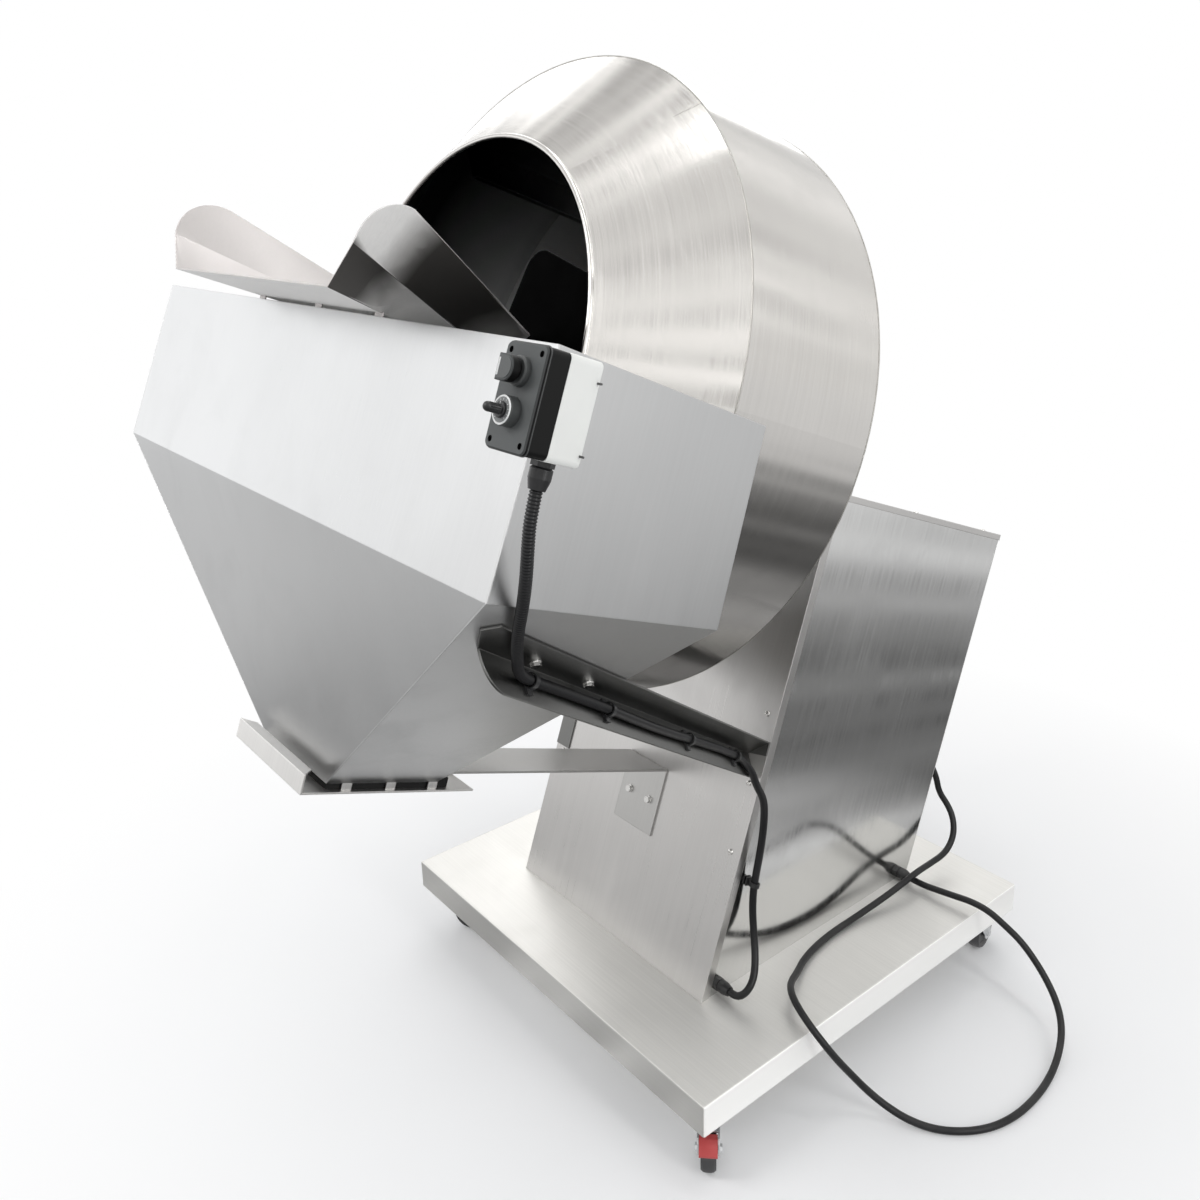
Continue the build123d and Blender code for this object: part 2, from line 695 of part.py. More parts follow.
def motor():
    """The motor hanging from the gearbox: flange, finned body, fan cowl and terminal box."""
    top = AXIS_RISE - 104
    x = WORM_OFFSET - 4
    z = GEAR_MIDDLE
    radius = MOTOR_DIAMETER / 2
    shape = rod_y(top - 12, top, x, z, 120)
    shape += rod_y(top - 12 - MOTOR_LENGTH, top - 10, x, z, MOTOR_DIAMETER - 16)
    fins = 20
    for i in range(fins):
        fin = box(-1.5, 1.5, top - MOTOR_LENGTH * 0.72, top - 20, radius - 12, radius)
        around = Pos(x, 0, z) * Rot(0, 360.0 * i / fins, 0)
        shape += around * fin
    cowl_top = top - MOTOR_LENGTH * 0.74
    shape += rod_y(cowl_top - 70, cowl_top, x, z, MOTOR_DIAMETER)
    shape += box(x - 45, x + 45, top - 130, top - 40, z - radius - 38, z - radius + 14)
    return shape


def hood():
    """The cover over the bearings and the gearbox, open below, with a foot flange."""
    half = HOOD_WIDTH / 2
    low = CABINET_RISE
    high = CABINET_RISE + HOOD_RISE
    z0 = -HOOD_DEPTH
    z1 = -4.0
    outer = box(-half, half, low, high, z0, z1)
    outer = fillet(outer.edges().filter_by(Axis.Z).group_by(Axis.Y)[-1], 6)
    inner = box(-half + SHEET, half - SHEET, low - 1, high - SHEET, z0 + SHEET, z1 - SHEET)
    shell = outer - inner
    for side in (-1, 1):
        x0, x1 = sorted((side * (half - 0.5), side * (half + HOOD_FLANGE)))
        shell += box(x0, x1, low, low + SHEET, z0, z1)
    shell -= rod_z(z1 - 10, z1 + 10, 0, AXIS_RISE, SHAFT_DIAMETER + 8)
    return drilled(shell, hood_seats(1) + hood_seats(-1), M6, 20)


def drive_bolts():
    """The bearing bolts."""
    return [seat * hex_screw(M12, BEARING_FOOT + BEARING_PLATE - 1) for seat in bearing_seats()]


def motor_drive():
    """The speed drive on the left side panel's inner face, with its cooling fins."""
    x0 = -HALF + 2 * SHEET
    x1 = x0 + DRIVE_DEPTH
    y1 = CABINET_RISE - DRIVE_DROP
    y0 = y1 - DRIVE_HEIGHT
    z0 = BACK + DRIVE_INSET
    z1 = z0 + DRIVE_WIDTH
    case = box(x0 + DRIVE_FIN, x1, y0, y1, z0, z1)
    case = fillet(case.faces().sort_by(Axis.X)[-1].edges(), 4)
    case += box(x0, x0 + 4, y0 - 12, y1 + 12, z0 + 10, z1 - 10)
    pitch = 12.0
    for i in range(12):
        z = z0 + 9 + pitch * i
        case += box(x0 + 3, x0 + DRIVE_FIN + 1, y0 + 2, y1 - 2, z, z + 2.5)
    return case


def drive_shaft():
    """The stepped shaft that the drum hangs on."""
    rear = REAR_BEARING - BEARING_WIDTH / 2 - 4
    shaft = rod_z(rear, BACK_REACH, 0, 0, SHAFT_DIAMETER)
    shaft = chamfer(shaft.faces().sort_by(Axis.Z)[0].edges(), 2)
    return shaft


# Drum, about its own axis with z out from the panel

def inset_profile(points, thickness):
    """The outline of a sheet's inner face: every segment moved inwards, with mitred corners."""
    lines = []
    for (r0, z0), (r1, z1) in zip(points, points[1:]):
        length = hypot(r1 - r0, z1 - z0)
        nr, nz = -(z1 - z0) / length, (r1 - r0) / length
        lines.append(((r0 + nr * thickness, z0 + nz * thickness), (r1 - r0, z1 - z0)))
    inner = []
    first, direction = lines[0]
    inner.append((points[0][0], first[1] + (points[0][0] - first[0]) * direction[1] / direction[0]))
    for (p, u), (q, v) in zip(lines, lines[1:]):
        cross = u[0] * v[1] - u[1] * v[0]
        t = ((q[0] - p[0]) * v[1] - (q[1] - p[1]) * v[0]) / cross
        inner.append((p[0] + u[0] * t, p[1] + u[1] * t))
    last, direction = lines[-1]
    end = points[-1][1]
    inner.append((last[0] + (end - last[1]) * direction[0] / direction[1], end))
    return inner


HUB_BORE = 30.0
DRUM_OUTER = [
    (HUB_BORE, BACK_REACH),
    (MOUTH_RADIUS, BACK_REACH),
    (DRUM_RADIUS, REAR_SEAM),
    (DRUM_RADIUS, FRONT_SEAM),
    (MOUTH_RADIUS, MOUTH_REACH),
]
DRUM_INNER = inset_profile(DRUM_OUTER, DRUM_SHEET)


def drum_ring(i):
    """One rolled sheet of the drum between two seams."""
    return revolve_z([DRUM_OUTER[i], DRUM_OUTER[i + 1], DRUM_INNER[i + 1], DRUM_INNER[i]])


def drum_inside():
    """The space inside the drum."""
    return revolve_z([(0, DRUM_INNER[0][1])] + DRUM_INNER + [(0, MOUTH_REACH)])


def drum_front_cone():
    """The front cone with the wire that its mouth is rolled round."""
    wire = Pos(0, 0, MOUTH_REACH) * Torus(MOUTH_RADIUS - RIM_WIRE / 4, RIM_WIRE / 2)
    return drum_ring(3) + wire


def drum_back():
    """The flat back that the hub is bolted to."""
    return drilled(drum_ring(0), hub_seats(), M10, 30)


def drum_flights():
    """Lifting flights: folded strips along the barrel, cut to the drum's inner face."""
    pieces = []
    room = drum_inside()
    back = REAR_SEAM + 6
    front = FRONT_SEAM - 6
    inner = DRUM_RADIUS - DRUM_SHEET - FLIGHT_HEIGHT
    for i in range(FLIGHT_COUNT):
        blade = box(inner, DRUM_RADIUS, -FLIGHT_SHEET / 2, FLIGHT_SHEET / 2, back, front)
        lip = box(-18, 0, -FLIGHT_SHEET / 2, FLIGHT_SHEET / 2, back, front)
        lip = Pos(inner, 0, 0) * Rot(0, 0, 55) * lip
        knee = rod_z(back, front, inner, 0, FLIGHT_SHEET)
        flight = (blade + lip + knee) & room
        pieces.append(Rot(0, 0, 360.0 * i / FLIGHT_COUNT + 40) * flight)
    return pieces


def drum_scoop():
    """The scoop plate just inside the mouth, with a return along its free edge."""
    room = drum_inside()
    z1 = SCOOP_REACH
    z0 = SCOOP_REACH - FLIGHT_SHEET
    plate = box(SCOOP_OFFSET, DRUM_RADIUS, -SCOOP_HALF, SCOOP_HALF, z0, z1)
    plate = fillet(plate.edges().filter_by(Axis.Z).group_by(Axis.X)[0], SCOOP_CORNER)
    straight = SCOOP_HALF - SCOOP_CORNER
    back_turn = box(
        SCOOP_OFFSET, SCOOP_OFFSET + FLIGHT_SHEET, -straight, straight, z0 - SCOOP_RETURN, z1
    )
    return Rot(0, 0, SCOOP_ANGLE) * ((plate + back_turn) & room)


def drum_hub():
    """The hub flange on the shaft, with a boss and ribs."""
    back = BACK_REACH - HUB_THICKNESS
    radius = HUB_DIAMETER / 2
    hub = rod_z(back, BACK_REACH, 0, 0, HUB_DIAMETER)
    hub += rod_z(back - 60, back, 0, 0, SHAFT_DIAMETER + 34)
    for i in range(6):
        near = SHAFT_DIAMETER / 2 + 12
        rib = prism_x([(near, back), (radius - 8, back), (near, back - 50)], -4, 4)
        hub += Rot(0, 0, 60.0 * i + 30) * rib
    hub -= rod_z(back - 61, BACK_REACH + 1, 0, 0, SHAFT_DIAMETER + 2 * RUNNING_GAP)
    return drilled(hub, hub_seats(), M10, 30)


def hub_bolts():
    """Six bolts with their nuts through the hub and the drum's back, and the shaft's end cap."""
    depth = DRUM_SHEET + HUB_THICKNESS
    nut = Pos(0, 0, -depth - 8) * extrude(RegularPolygon(M10 * 0.9, 6), 8)
    bolt = hex_screw(M10, depth + 10) + nut
    cap = rod_z(BACK_REACH, BACK_REACH + 5, 0, 0, 2 * HUB_BORE - 2)
    cap += Pos(0, 0, BACK_REACH + 5) * hex_screw(M12, 4)
    return [seat * bolt for seat in hub_seats()] + [cap]


# Catch hopper, in the panel's frame

def hopper_block(side, front, back):
    """The hopper as a solid, with its side, front and back planes moved in by an amount each."""
    top = HOPPER_TOP_FRONT + 40
    half = HOPPER_HALF - side
    block = box(-half, half, OUTLET_RISE, top, OUTLET_BACK - 60, FOLD_REACH + 60)
    run = HOPPER_HALF - OUTLET_HALF
    rise = FOLD_RISE - OUTLET_RISE
    length = hypot(run, rise)
    for way in (-1, 1):
        normal = (way * rise / length, -run / length, 0)
        point = (way * OUTLET_HALF - normal[0] * side, OUTLET_RISE - normal[1] * side, 0)
        block = cut_above(block, point, normal)
    planes = (
        ((OUTLET_RISE, OUTLET_FRONT), (FOLD_RISE, FOLD_REACH), front, 1),
        ((FOLD_RISE, FOLD_REACH), (HOPPER_TOP_FRONT, HOPPER_LIP_REACH), front, 1),
        ((OUTLET_RISE, OUTLET_BACK), (FOLD_RISE, SIDE_BACK_FOLD), back, -1),
        ((FOLD_RISE, SIDE_BACK_FOLD), (HOPPER_TOP_BACK, SIDE_BACK_TOP), back, -1),
    )
    for (y0, z0), (y1, z1), move, way in planes:
        length = hypot(y1 - y0, z1 - z0)
        ny, nz = -way * (z1 - z0) / length, way * (y1 - y0) / length
        block = cut_above(block, (0, y0 - ny * move, z0 - nz * move), (0, ny, nz))
    slope = (HOPPER_TOP_FRONT - HOPPER_TOP_BACK) / (HOPPER_LIP_REACH - SIDE_BACK_TOP)
    return cut_above(block, (0, HOPPER_TOP_FRONT, HOPPER_LIP_REACH), (0, 1, -slope))


def hopper_sheets():
    """The right and left sides with their facets, the front and the back, as four shapes."""
    outer = hopper_block(0, 0, 0)
    between = hopper_block(HOPPER_SHEET, 0, 0)
    behind = hopper_block(HOPPER_SHEET, HOPPER_SHEET, 0)
    inside = hopper_block(HOPPER_SHEET, HOPPER_SHEET, HOPPER_SHEET)
    side = (outer - between) & box(0, HOPPER_HALF + 10, 0, 2 * HOPPER_TOP_FRONT, 0, 2 * FOLD_REACH)
    side = drilled(side, arm_seats(), M8, 20)
    room = rod_z(0, 2 * FOLD_REACH, 0, AXIS_RISE, 2 * (DRUM_RADIUS + DRUM_SWEEP))
    rear = (behind - inside) & box(-HOPPER_HALF, HOPPER_HALF, 0, FOLD_RISE - GAP, 0, FOLD_REACH)
    return side, mirrored(side), between - behind, rear - room


def outlet_plate():
    """The plate under the outlet: opening, front web and lip, and the tabs that hold it."""
    half = PLATE_WIDTH / 2
    plate = box(-half, half, PLATE_RISE, PLATE_RISE + PLATE_SHEET, PLATE_BACK, PLATE_FRONT)
    opening = box(
        -OUTLET_HALF + 4, OUTLET_HALF - 4, PLATE_RISE - 1, PLATE_RISE + PLATE_SHEET + 1,
        OUTLET_BACK + 4, OUTLET_FRONT - 4,
    )
    plate -= fillet(opening.edges().filter_by(Axis.Y), 8)
    web_top = PLATE_RISE + PLATE_WEB
    plate += box(-half, half, PLATE_RISE, web_top, PLATE_FRONT - PLATE_SHEET, PLATE_FRONT)
    cut = PLATE_LIP
    lip = prism_y(
        [(-half, PLATE_FRONT), (half, PLATE_FRONT), (half - cut, PLATE_FRONT - PLATE_LIP),
         (-half + cut, PLATE_FRONT - PLATE_LIP)],
        web_top - PLATE_SHEET, web_top,
    )
    plate += lip
    tab_low = PLATE_RISE + PLATE_SHEET
    for x in (-OUTLET_HALF + HOPPER_SHEET, OUTLET_HALF - HOPPER_SHEET):
        for z in (OUTLET_BACK + 35, (OUTLET_BACK + OUTLET_FRONT) / 2, OUTLET_FRONT - 35):
            plate += box(x - HOPPER_SHEET, x + HOPPER_SHEET, tab_low - 1, OUTLET_RISE, z - 8, z + 8)
    return plate


def centre_strap():
    """The bent strap from the front panel to the outlet plate."""
    half = STRAP_WIDTH / 2
    top = PLATE_RISE + PLATE_SHEET + STRAP_SHEET
    leg = box(-half, half, top - STRAP_SHEET, top, 0, PLATE_BACK + STRAP_LAP)
    foot = box(-half, half, top - STRAP_FOOT, top, 0, STRAP_SHEET)
    strap = leg + foot
    outer = strap.edges().filter_by(Axis.X).sort_by(lambda e: hypot(e.center().Y - top, e.center().Z))[0]
    strap = fillet(outer, STRAP_SHEET)
    return drilled(strap, strap_seats(), M8, 20)


def facet_axes():
    """The directions up the right facet and out of it."""
    run = HOPPER_HALF - OUTLET_HALF
    rise = FOLD_RISE - OUTLET_RISE
    length = hypot(run, rise)
    return (run / length, rise / length, 0), (rise / length, -run / length, 0)


def facet_point(z, u, out):
    """A point on the right facet: z from the panel, u up the facet from the outlet, out from it."""
    up, away = facet_axes()
    return (
        OUTLET_HALF + up[0] * u + away[0] * out,
        OUTLET_RISE + up[1] * u + away[1] * out,
        z,
    )


def arm_point(along, up, out):
    """A point on the right arm: along it from the panel, up its web from the fold, out of it."""
    slope = radians(ARM_SLOPE)
    z = along * cos(slope) - up * sin(slope)
    return facet_point(z, ARM_FOOT_RISE + along * sin(slope) + up * cos(slope), out)


def arm_frame():
    """The right arm's own frame: x along the arm, z out of the facet, y down the web."""
    up, away = facet_axes()
    slope = radians(ARM_SLOPE)
    along = (sin(slope) * up[0], sin(slope) * up[1], cos(slope))
    return Plane(origin=arm_point(0, 0, 0), x_dir=along, z_dir=away)


def support_arm():
    """The right arm: a folded channel on the hopper's facet, welded to a tab on the panel."""
    tip_web = ARM_TIP / cos(radians(ARM_SLOPE))
    back = -60.0
    web = prism_z(
        [(back, 0), (tip_web - 18, 0), (tip_web + 26, -ARM_WEB * 0.62), (tip_web + 14, -ARM_WEB),
         (back, -ARM_WEB)],
        GAP, ARM_SHEET + GAP,
    )
    nose = ARM_FLANGE * 0.9
    flange = box(back, tip_web - 18, -ARM_SHEET, 0, GAP, ARM_FLANGE + GAP)
    corners = flange.edges().filter_by(Axis.Y).sort_by(lambda e: -e.center().X - e.center().Z)
    flange = fillet(corners[0], nose)
    arm = arm_frame().location * (web + flange)
    arm = cut_above(arm, (0, 0, 0), (0, 0, -1))
    low = arm_point(0, 0, 0)
    high = arm_point(0, ARM_WEB, 0)
    tab = prism_z([low[:2], high[:2], (HALF, high[1] + 6), (HALF, low[1] + 10)], 0, ARM_SHEET)
    return drilled(arm + tab, arm_seats(), M8, 20)


def arm_with_foot():
    """The left arm, whose end is also welded to a foot plate down the panel's edge."""
    foot = box(-HALF, -HALF + FOOT_PLATE_WIDTH, FOOT_PLATE_BOTTOM, FOOT_PLATE_TOP, 0, ARM_SHEET)
    return drilled(mirrored(support_arm()) + foot, panel_seats(-1), M6, 20)


ARM_BOLTS = ((750.0, 481.0), (623.0, 430.0))


def support_bolts():
    """The bolts of the arms and the strap."""
    pieces = []
    for seat in arm_seats():
        bolt = seat * hex_screw(M8, ARM_SHEET + GAP + HOPPER_SHEET + 6)
        pieces += [bolt, mirrored(bolt)]
    return pieces + [seat * hex_screw(M8, STRAP_SHEET + SHEET + 6) for seat in strap_seats()]


# Feed chute, in the panel's frame

def chute_section(z):
    """Half the chute's section at one reach: floor corner, crease and top edge, as (x, y)."""
    run = CHUTE_FRONT - z
    floor = (CHUTE_FLOOR_HALF - CHUTE_FLOOR_SPREAD * run, CHUTE_FLOOR_RISE - CHUTE_FLOOR_FALL * run)
    crease = (
        CHUTE_CREASE_HALF - CHUTE_CREASE_SPREAD * run, CHUTE_CREASE_RISE - CHUTE_CREASE_FALL * run
    )
    top = (CHUTE_TOP_HALF - CHUTE_TOP_SPREAD * run, CHUTE_TOP_RISE - CHUTE_TOP_FALL * run)
    return [floor, crease, top]


def ribbon(points, thickness):
    """A closed outline of a bent strip: the points and the same points moved to one side."""
    count = len(points)
    moved = []
    for i in range(count):
        x0, y0 = points[max(i - 1, 0)]
        x1, y1 = points[min(i + 1, count - 1)]
        length = hypot(x1 - x0, y1 - y0)
        x = points[i][0] + (y1 - y0) / length * thickness
        y = points[i][1] - (x1 - x0) / length * thickness
        moved.append((x, y))
    return points + moved[::-1]


def chute():
    """The folded chute: floor and two creased sides, narrowing into the drum's mouth."""
    faces = []
    for z in (CHUTE_FRONT, CHUTE_BACK):
        half = chute_section(z)
        line = [(-x, y) for x, y in half[::-1]] + half
        outline = ribbon(line, CHUTE_SHEET)
        faces.append(make_face(Polyline([(x, y, z) for x, y in outline], close=True)))
    trough = loft(faces, ruled=True)
    top_back = chute_section(CHUTE_BACK - 20)[2][1]
    low = CHUTE_FLOOR_RISE - 80
    side = make_face(Polyline(
        [(0, low, CHUTE_BACK - 20), (0, low, CHUTE_FRONT), (0, CHUTE_TOP_RISE, CHUTE_FRONT),
         (0, top_back, CHUTE_BACK - 20)], close=True))
    corner = side.vertices().sort_by(lambda v: -v.Y - v.Z)[0]
    side = fillet(corner, CHUTE_CORNER)
    trough &= extrude(side, amount=CHUTE_TOP_HALF + 20, dir=(1, 0, 0), both=True)
    inside = HOPPER_LIP_REACH - HOPPER_SHEET - GAP
    floor_half, floor_level = chute_section(inside)[0]
    under = floor_level - CHUTE_SHEET
    half = CHUTE_TAB_WIDTH / 2
    left = CHUTE_TAB_INSET_LEFT - floor_half
    for x in (left, CHUTE_TAB_MIDDLE, floor_half - CHUTE_TAB_INSET_RIGHT):
        trough += box(x - half, x + half, under - 22, under + 1, inside - CHUTE_SHEET, inside)
    return trough


# Control station

def station_block(inset, z0, z1, corner):
    """A rounded block of the station's outline."""
    x0, x1 = STATION_LEFT + inset, STATION_LEFT + STATION_WIDTH - inset
    y0, y1 = STATION_BOTTOM + inset, STATION_BOTTOM + STATION_LENGTH - inset
    block = box(x0, x1, y0, y1, z0, z1)
    return fillet(block.edges().filter_by(Axis.Z), corner)


STATION_X = STATION_LEFT + STATION_WIDTH / 2
BUTTON_Y = STATION_BOTTOM + STATION_LENGTH * 0.73
KNOB_Y = STATION_BOTTOM + STATION_LENGTH * 0.36
COVER_BACK = STATION_BACK + HOUSING_DEPTH
COVER_FRONT = COVER_BACK + COVER_DEPTH


def station_bracket():
    """The angle between the hopper's side and the station's back."""
    back = STATION_BACK - 2 * HOPPER_SHEET
    y0, y1 = STATION_BOTTOM + 14, STATION_BOTTOM + STATION_LENGTH - 14
    face = box(HOPPER_HALF, STATION_LEFT + STATION_WIDTH - 8, y0, y1, back, STATION_BACK)
    leg = box(HOPPER_HALF, HOPPER_HALF + 2 * HOPPER_SHEET, y0, y1, back - 34, STATION_BACK)
    return face + leg


def station_housing():
    """The light lower half of the station."""
    return station_block(0, STATION_BACK, COVER_BACK, STATION_CORNER)


def station_cover():
    """The dark cover with its four screw wells and the two operator seats."""
    cover = station_block(0.5, COVER_BACK, COVER_FRONT, STATION_CORNER)
    cover = chamfer(cover.faces().sort_by(Axis.Z)[-1].edges(), 1.5)
    for x in (STATION_LEFT + 9, STATION_LEFT + STATION_WIDTH - 9):
        for y in (STATION_BOTTOM + 9, STATION_BOTTOM + STATION_LENGTH - 9):
            cover -= rod_z(COVER_FRONT - 6, COVER_FRONT + 1, x, y, 6.5)
    for y in (BUTTON_Y, KNOB_Y):
        cover -= rod_z(COVER_FRONT - OPERATOR_SEAT, COVER_FRONT + 1, STATION_X, y, OPERATOR_HOLE)
    return cover


def station_collars():
    """The two round collars of the operators, each with its seat in the cover."""
    pieces = []
    for y, rise, bore, floor in ((BUTTON_Y, 7.0, BUTTON_STEM, 0.0), (KNOB_Y, 12.0, KNOB_SHAFT, 6.0)):
        collar = rod_z(COVER_FRONT, COVER_FRONT + rise, STATION_X, y, OPERATOR_COLLAR)
        collar = chamfer(collar.faces().sort_by(Axis.Z)[-1].edges(), 1.5)
        collar += rod_z(COVER_FRONT - OPERATOR_SEAT, COVER_FRONT, STATION_X, y, OPERATOR_HOLE)
        collar -= rod_z(COVER_FRONT - floor, COVER_FRONT + rise + 1, STATION_X, y, bore)
        pieces.append(collar)
    return pieces


def push_button():
    """The push button: a round stem under a head that is square on its left half."""
    z0 = COVER_FRONT + 7.0 + BUTTON_TRAVEL + GAP
    z1 = z0 + 9.0
    half = OPERATOR_COLLAR / 2 - 2
    head = rod_z(z0, z1, STATION_X, BUTTON_Y, 2 * half)
    head += box(STATION_X - half, STATION_X, BUTTON_Y - half, BUTTON_Y + half, z0, z1)
    head = chamfer(head.faces().sort_by(Axis.Z)[-1].edges(), 1)
    stem = BUTTON_STEM - 2 * RUNNING_GAP
    stem = rod_z(COVER_FRONT + BUTTON_TRAVEL + GAP, z0, STATION_X, BUTTON_Y, stem)
    return head + stem


def speed_knob():
    """The slim knob with its skirt and shaft."""
    z0 = COVER_FRONT + 12.0 + GAP
    knob = rod_z(z0, z0 + 3, STATION_X, KNOB_Y, 16)
    knob += rod_z(z0 + 3, z0 + 24, STATION_X, KNOB_Y, 10)
    knob = fillet(knob.faces().sort_by(Axis.Z)[-1].edges(), 4)
    knob += rod_z(COVER_FRONT - 5, z0, STATION_X, KNOB_Y, KNOB_SHAFT - 2 * RUNNING_GAP)
    return knob


# Glands and cords

def gland(diameter, bore):
    """A cable gland along +z from its seat at z = 0."""
    body = extrude(RegularPolygon(diameter / 2 * 1.05, 6), 6)
    radius = diameter / 2
    body += revolve_z([
        (0, 6), (radius * 0.8, 6), (radius, 8), (radius, 18), (bore / 2 + 2, GLAND_LENGTH),
        (0, GLAND_LENGTH),
    ])
    return body


def route_radii(points):
    """The arc at each point of a cord's route, as large as its two runs allow."""
    radii = []
    for a, b, c in zip(points, points[1:], points[2:]):
        before = Vector(*b) - Vector(*a)
        after = Vector(*c) - Vector(*b)
        turn = radians(before.get_angle(after))
        radii.append(0.45 * min(before.length, after.length) / tan(turn / 2))
    return radii


def cord_tube(points, diameter, name):
    """A tube along straight runs joined by tangent arcs."""
    radii = route_radii(points)
    path = FilletPolyline(*points, radius=radii)
    start = Vector(*points[0])
    ahead = Vector(*points[1]) - start
    section = Plane(origin=start, z_dir=ahead) * Circle(diameter / 2)
    tube = sweep(section, path=path)
    expected = pi * diameter ** 2 / 4 * path.length
    print(name, "length", round(path.length), "smallest radius", round(min(radii)),
          "volume ratio", round(tube.volume / expected, 4))
    print(name, "radii", [round(radius) for radius in radii])
    return tube


PANEL_GLAND = (HALF - SHEET, 33.0, -35.0)
STATION_GLAND = (STATION_X, STATION_BOTTOM, 916.0)
CORD_GLAND = (HALF - SHEET, 287.0, BASE_TOP + 14.0)


def conduit_glands():
    """The glands under the station and on the side panel, in the panel's frame."""
    low = Pos(*PANEL_GLAND) * Rot(0, 90, 0) * gland(GLAND_DIAMETER, CONDUIT_DIAMETER)
    high = Pos(*STATION_GLAND) * Rot(90, 0, 0) * gland(GLAND_DIAMETER, CONDUIT_DIAMETER)
    return [low, high]


# The conduit runs from the station to the side panel. The first and the last points are in the
# panel's frame, and between them it lies on the right arm: along it, up its web, out of it.
CONDUIT_SEAT = ARM_SHEET + CONDUIT_DIAMETER / 2 + GAP
ARM_CLIPS = (825.0, 613.0, 323.0, 108.0)
CONDUIT_DOWN = [
    (622, 877.5, 916), (622.5, 849, 915.5), (619.5, 819, 907), (612, 788, 894), (600, 758, 880),
    (582, 730, 864), (560, 705, 843), (532, 681, 815),
]
CONDUIT_ARM = [
    (855, 1, 26), (796, 1, 25), (715, 0, 24), (613, 1, 25), (500, 0, 27), (400, 1, 27),
    (323, 1, 25), (250, 0, 23), (185, 1, 22), (130, 0, 22.5), (88, 1, 25), (58, 0, 33),
    (36, 1, 47.5), (21, -3, 65.5),
]
CONDUIT_FOOT = [
    (291, 396, -2), (295.5, 366, -10), (296, 330, -19), (294, 292, -28), (291, 256, -36),
    (290, 220, -43), (292.5, 189, -50), (297, 162, -57), (303, 138, -62), (311, 116, -64.5),
    (320, 96.5, -62.5), (328.5, 79.5, -57.5), (333.8, 65.3, -50.5), (334.5, 52.5, -43.5),
    (330.5, 42.3, -38.5), (323, 35.3, -36), (313, 33, -35), (303, 33, -35),
]
TIE_PLACE = (290.3, 232, -40.7)


def conduit_route():
    """The conduit's points in the panel's frame."""
    arm = [arm_point(along, CONDUIT_SEAT + lift, out) for along, lift, out in CONDUIT_ARM]
    return CONDUIT_DOWN + arm + CONDUIT_FOOT


def conduit_clips():
    """Four saddle clips on the arm's flange and a tie on the side panel, in the panel's frame."""
    inner = CONDUIT_DIAMETER / 2 + 1.2
    outer = inner + CLIP_WALL
    lift = CONDUIT_SEAT - ARM_SHEET + 1
    ring = rod_x(-CLIP_WIDTH / 2, CLIP_WIDTH / 2, 0, 0, 2 * outer)
    ring += box(-CLIP_WIDTH / 2, CLIP_WIDTH / 2, 0, lift + 4, -outer, outer)
    ring += box(-CLIP_WIDTH / 2 - 2, CLIP_WIDTH / 2 + 2, lift - 4, lift + 4, -outer - 6, outer + 6)
    ring -= rod_x(-CLIP_WIDTH, CLIP_WIDTH, 0, 0, 2 * inner)
    ring -= box(-CLIP_WIDTH, CLIP_WIDTH, lift, lift + 20, -40, 40)
    pieces = []
    for along, out in zip(ARM_CLIPS, (25.5, 25, 25, 24)):
        place = arm_frame().location * Pos(along, -(CONDUIT_SEAT + 1), out + GAP)
        pieces.append(place * ring)
    reach = TIE_PLACE[0] - HALF
    tie = rod_y(-CLIP_WIDTH / 2, CLIP_WIDTH / 2, 0, 0, 2 * outer)
    tie += box(-reach, 0, -CLIP_WIDTH / 2, CLIP_WIDTH / 2, -4, 4)
    tie += box(-reach, -reach + 3, -CLIP_WIDTH / 2 - 4, CLIP_WIDTH / 2 + 4, -8, 8)
    tie -= rod_y(-CLIP_WIDTH, CLIP_WIDTH, 0, 0, 2 * inner)
    pieces.append(Pos(*TIE_PLACE) * tie)
    return pieces


def cord_hook():
    """The strip hook behind the cabinet that the cord hangs over, in the machine's frame."""
    rest = HOOK_LEVEL - CORD_DIAMETER / 2 - 3 * GAP
    wall = cover_line(rest)
    high = rest + 26
    low = rest - 22
    outline = [
        (cover_line(low), low), (cover_line(high), high),
        (cover_line(high) + HOOK_SHEET * 1.07, high),
        (cover_line(rest) + HOOK_SHEET * 1.07, rest),
        (wall + HOOK_REACH - HOOK_SHEET, rest),
        (wall + HOOK_REACH - HOOK_SHEET, rest + HOOK_LIP),
        (wall + HOOK_REACH, rest + HOOK_LIP),
        (wall + HOOK_REACH, rest - HOOK_SHEET),
        (cover_line(rest - HOOK_SHEET) + HOOK_SHEET * 1.07, rest - HOOK_SHEET),
        (cover_line(low) + HOOK_SHEET * 1.07, low),
    ]
    return prism_x(outline, HOOK_X - HOOK_WIDTH / 2, HOOK_X + HOOK_WIDTH / 2)


def cover_line(z):
    """How far back the cabinet's back cover lies at a height."""
    along = (z - BASE_TOP - CABINET_DEPTH * -sin(LEAN)) / cos(LEAN)
    return -PANEL_FOOT + along * sin(LEAN) + CABINET_DEPTH * cos(LEAN)


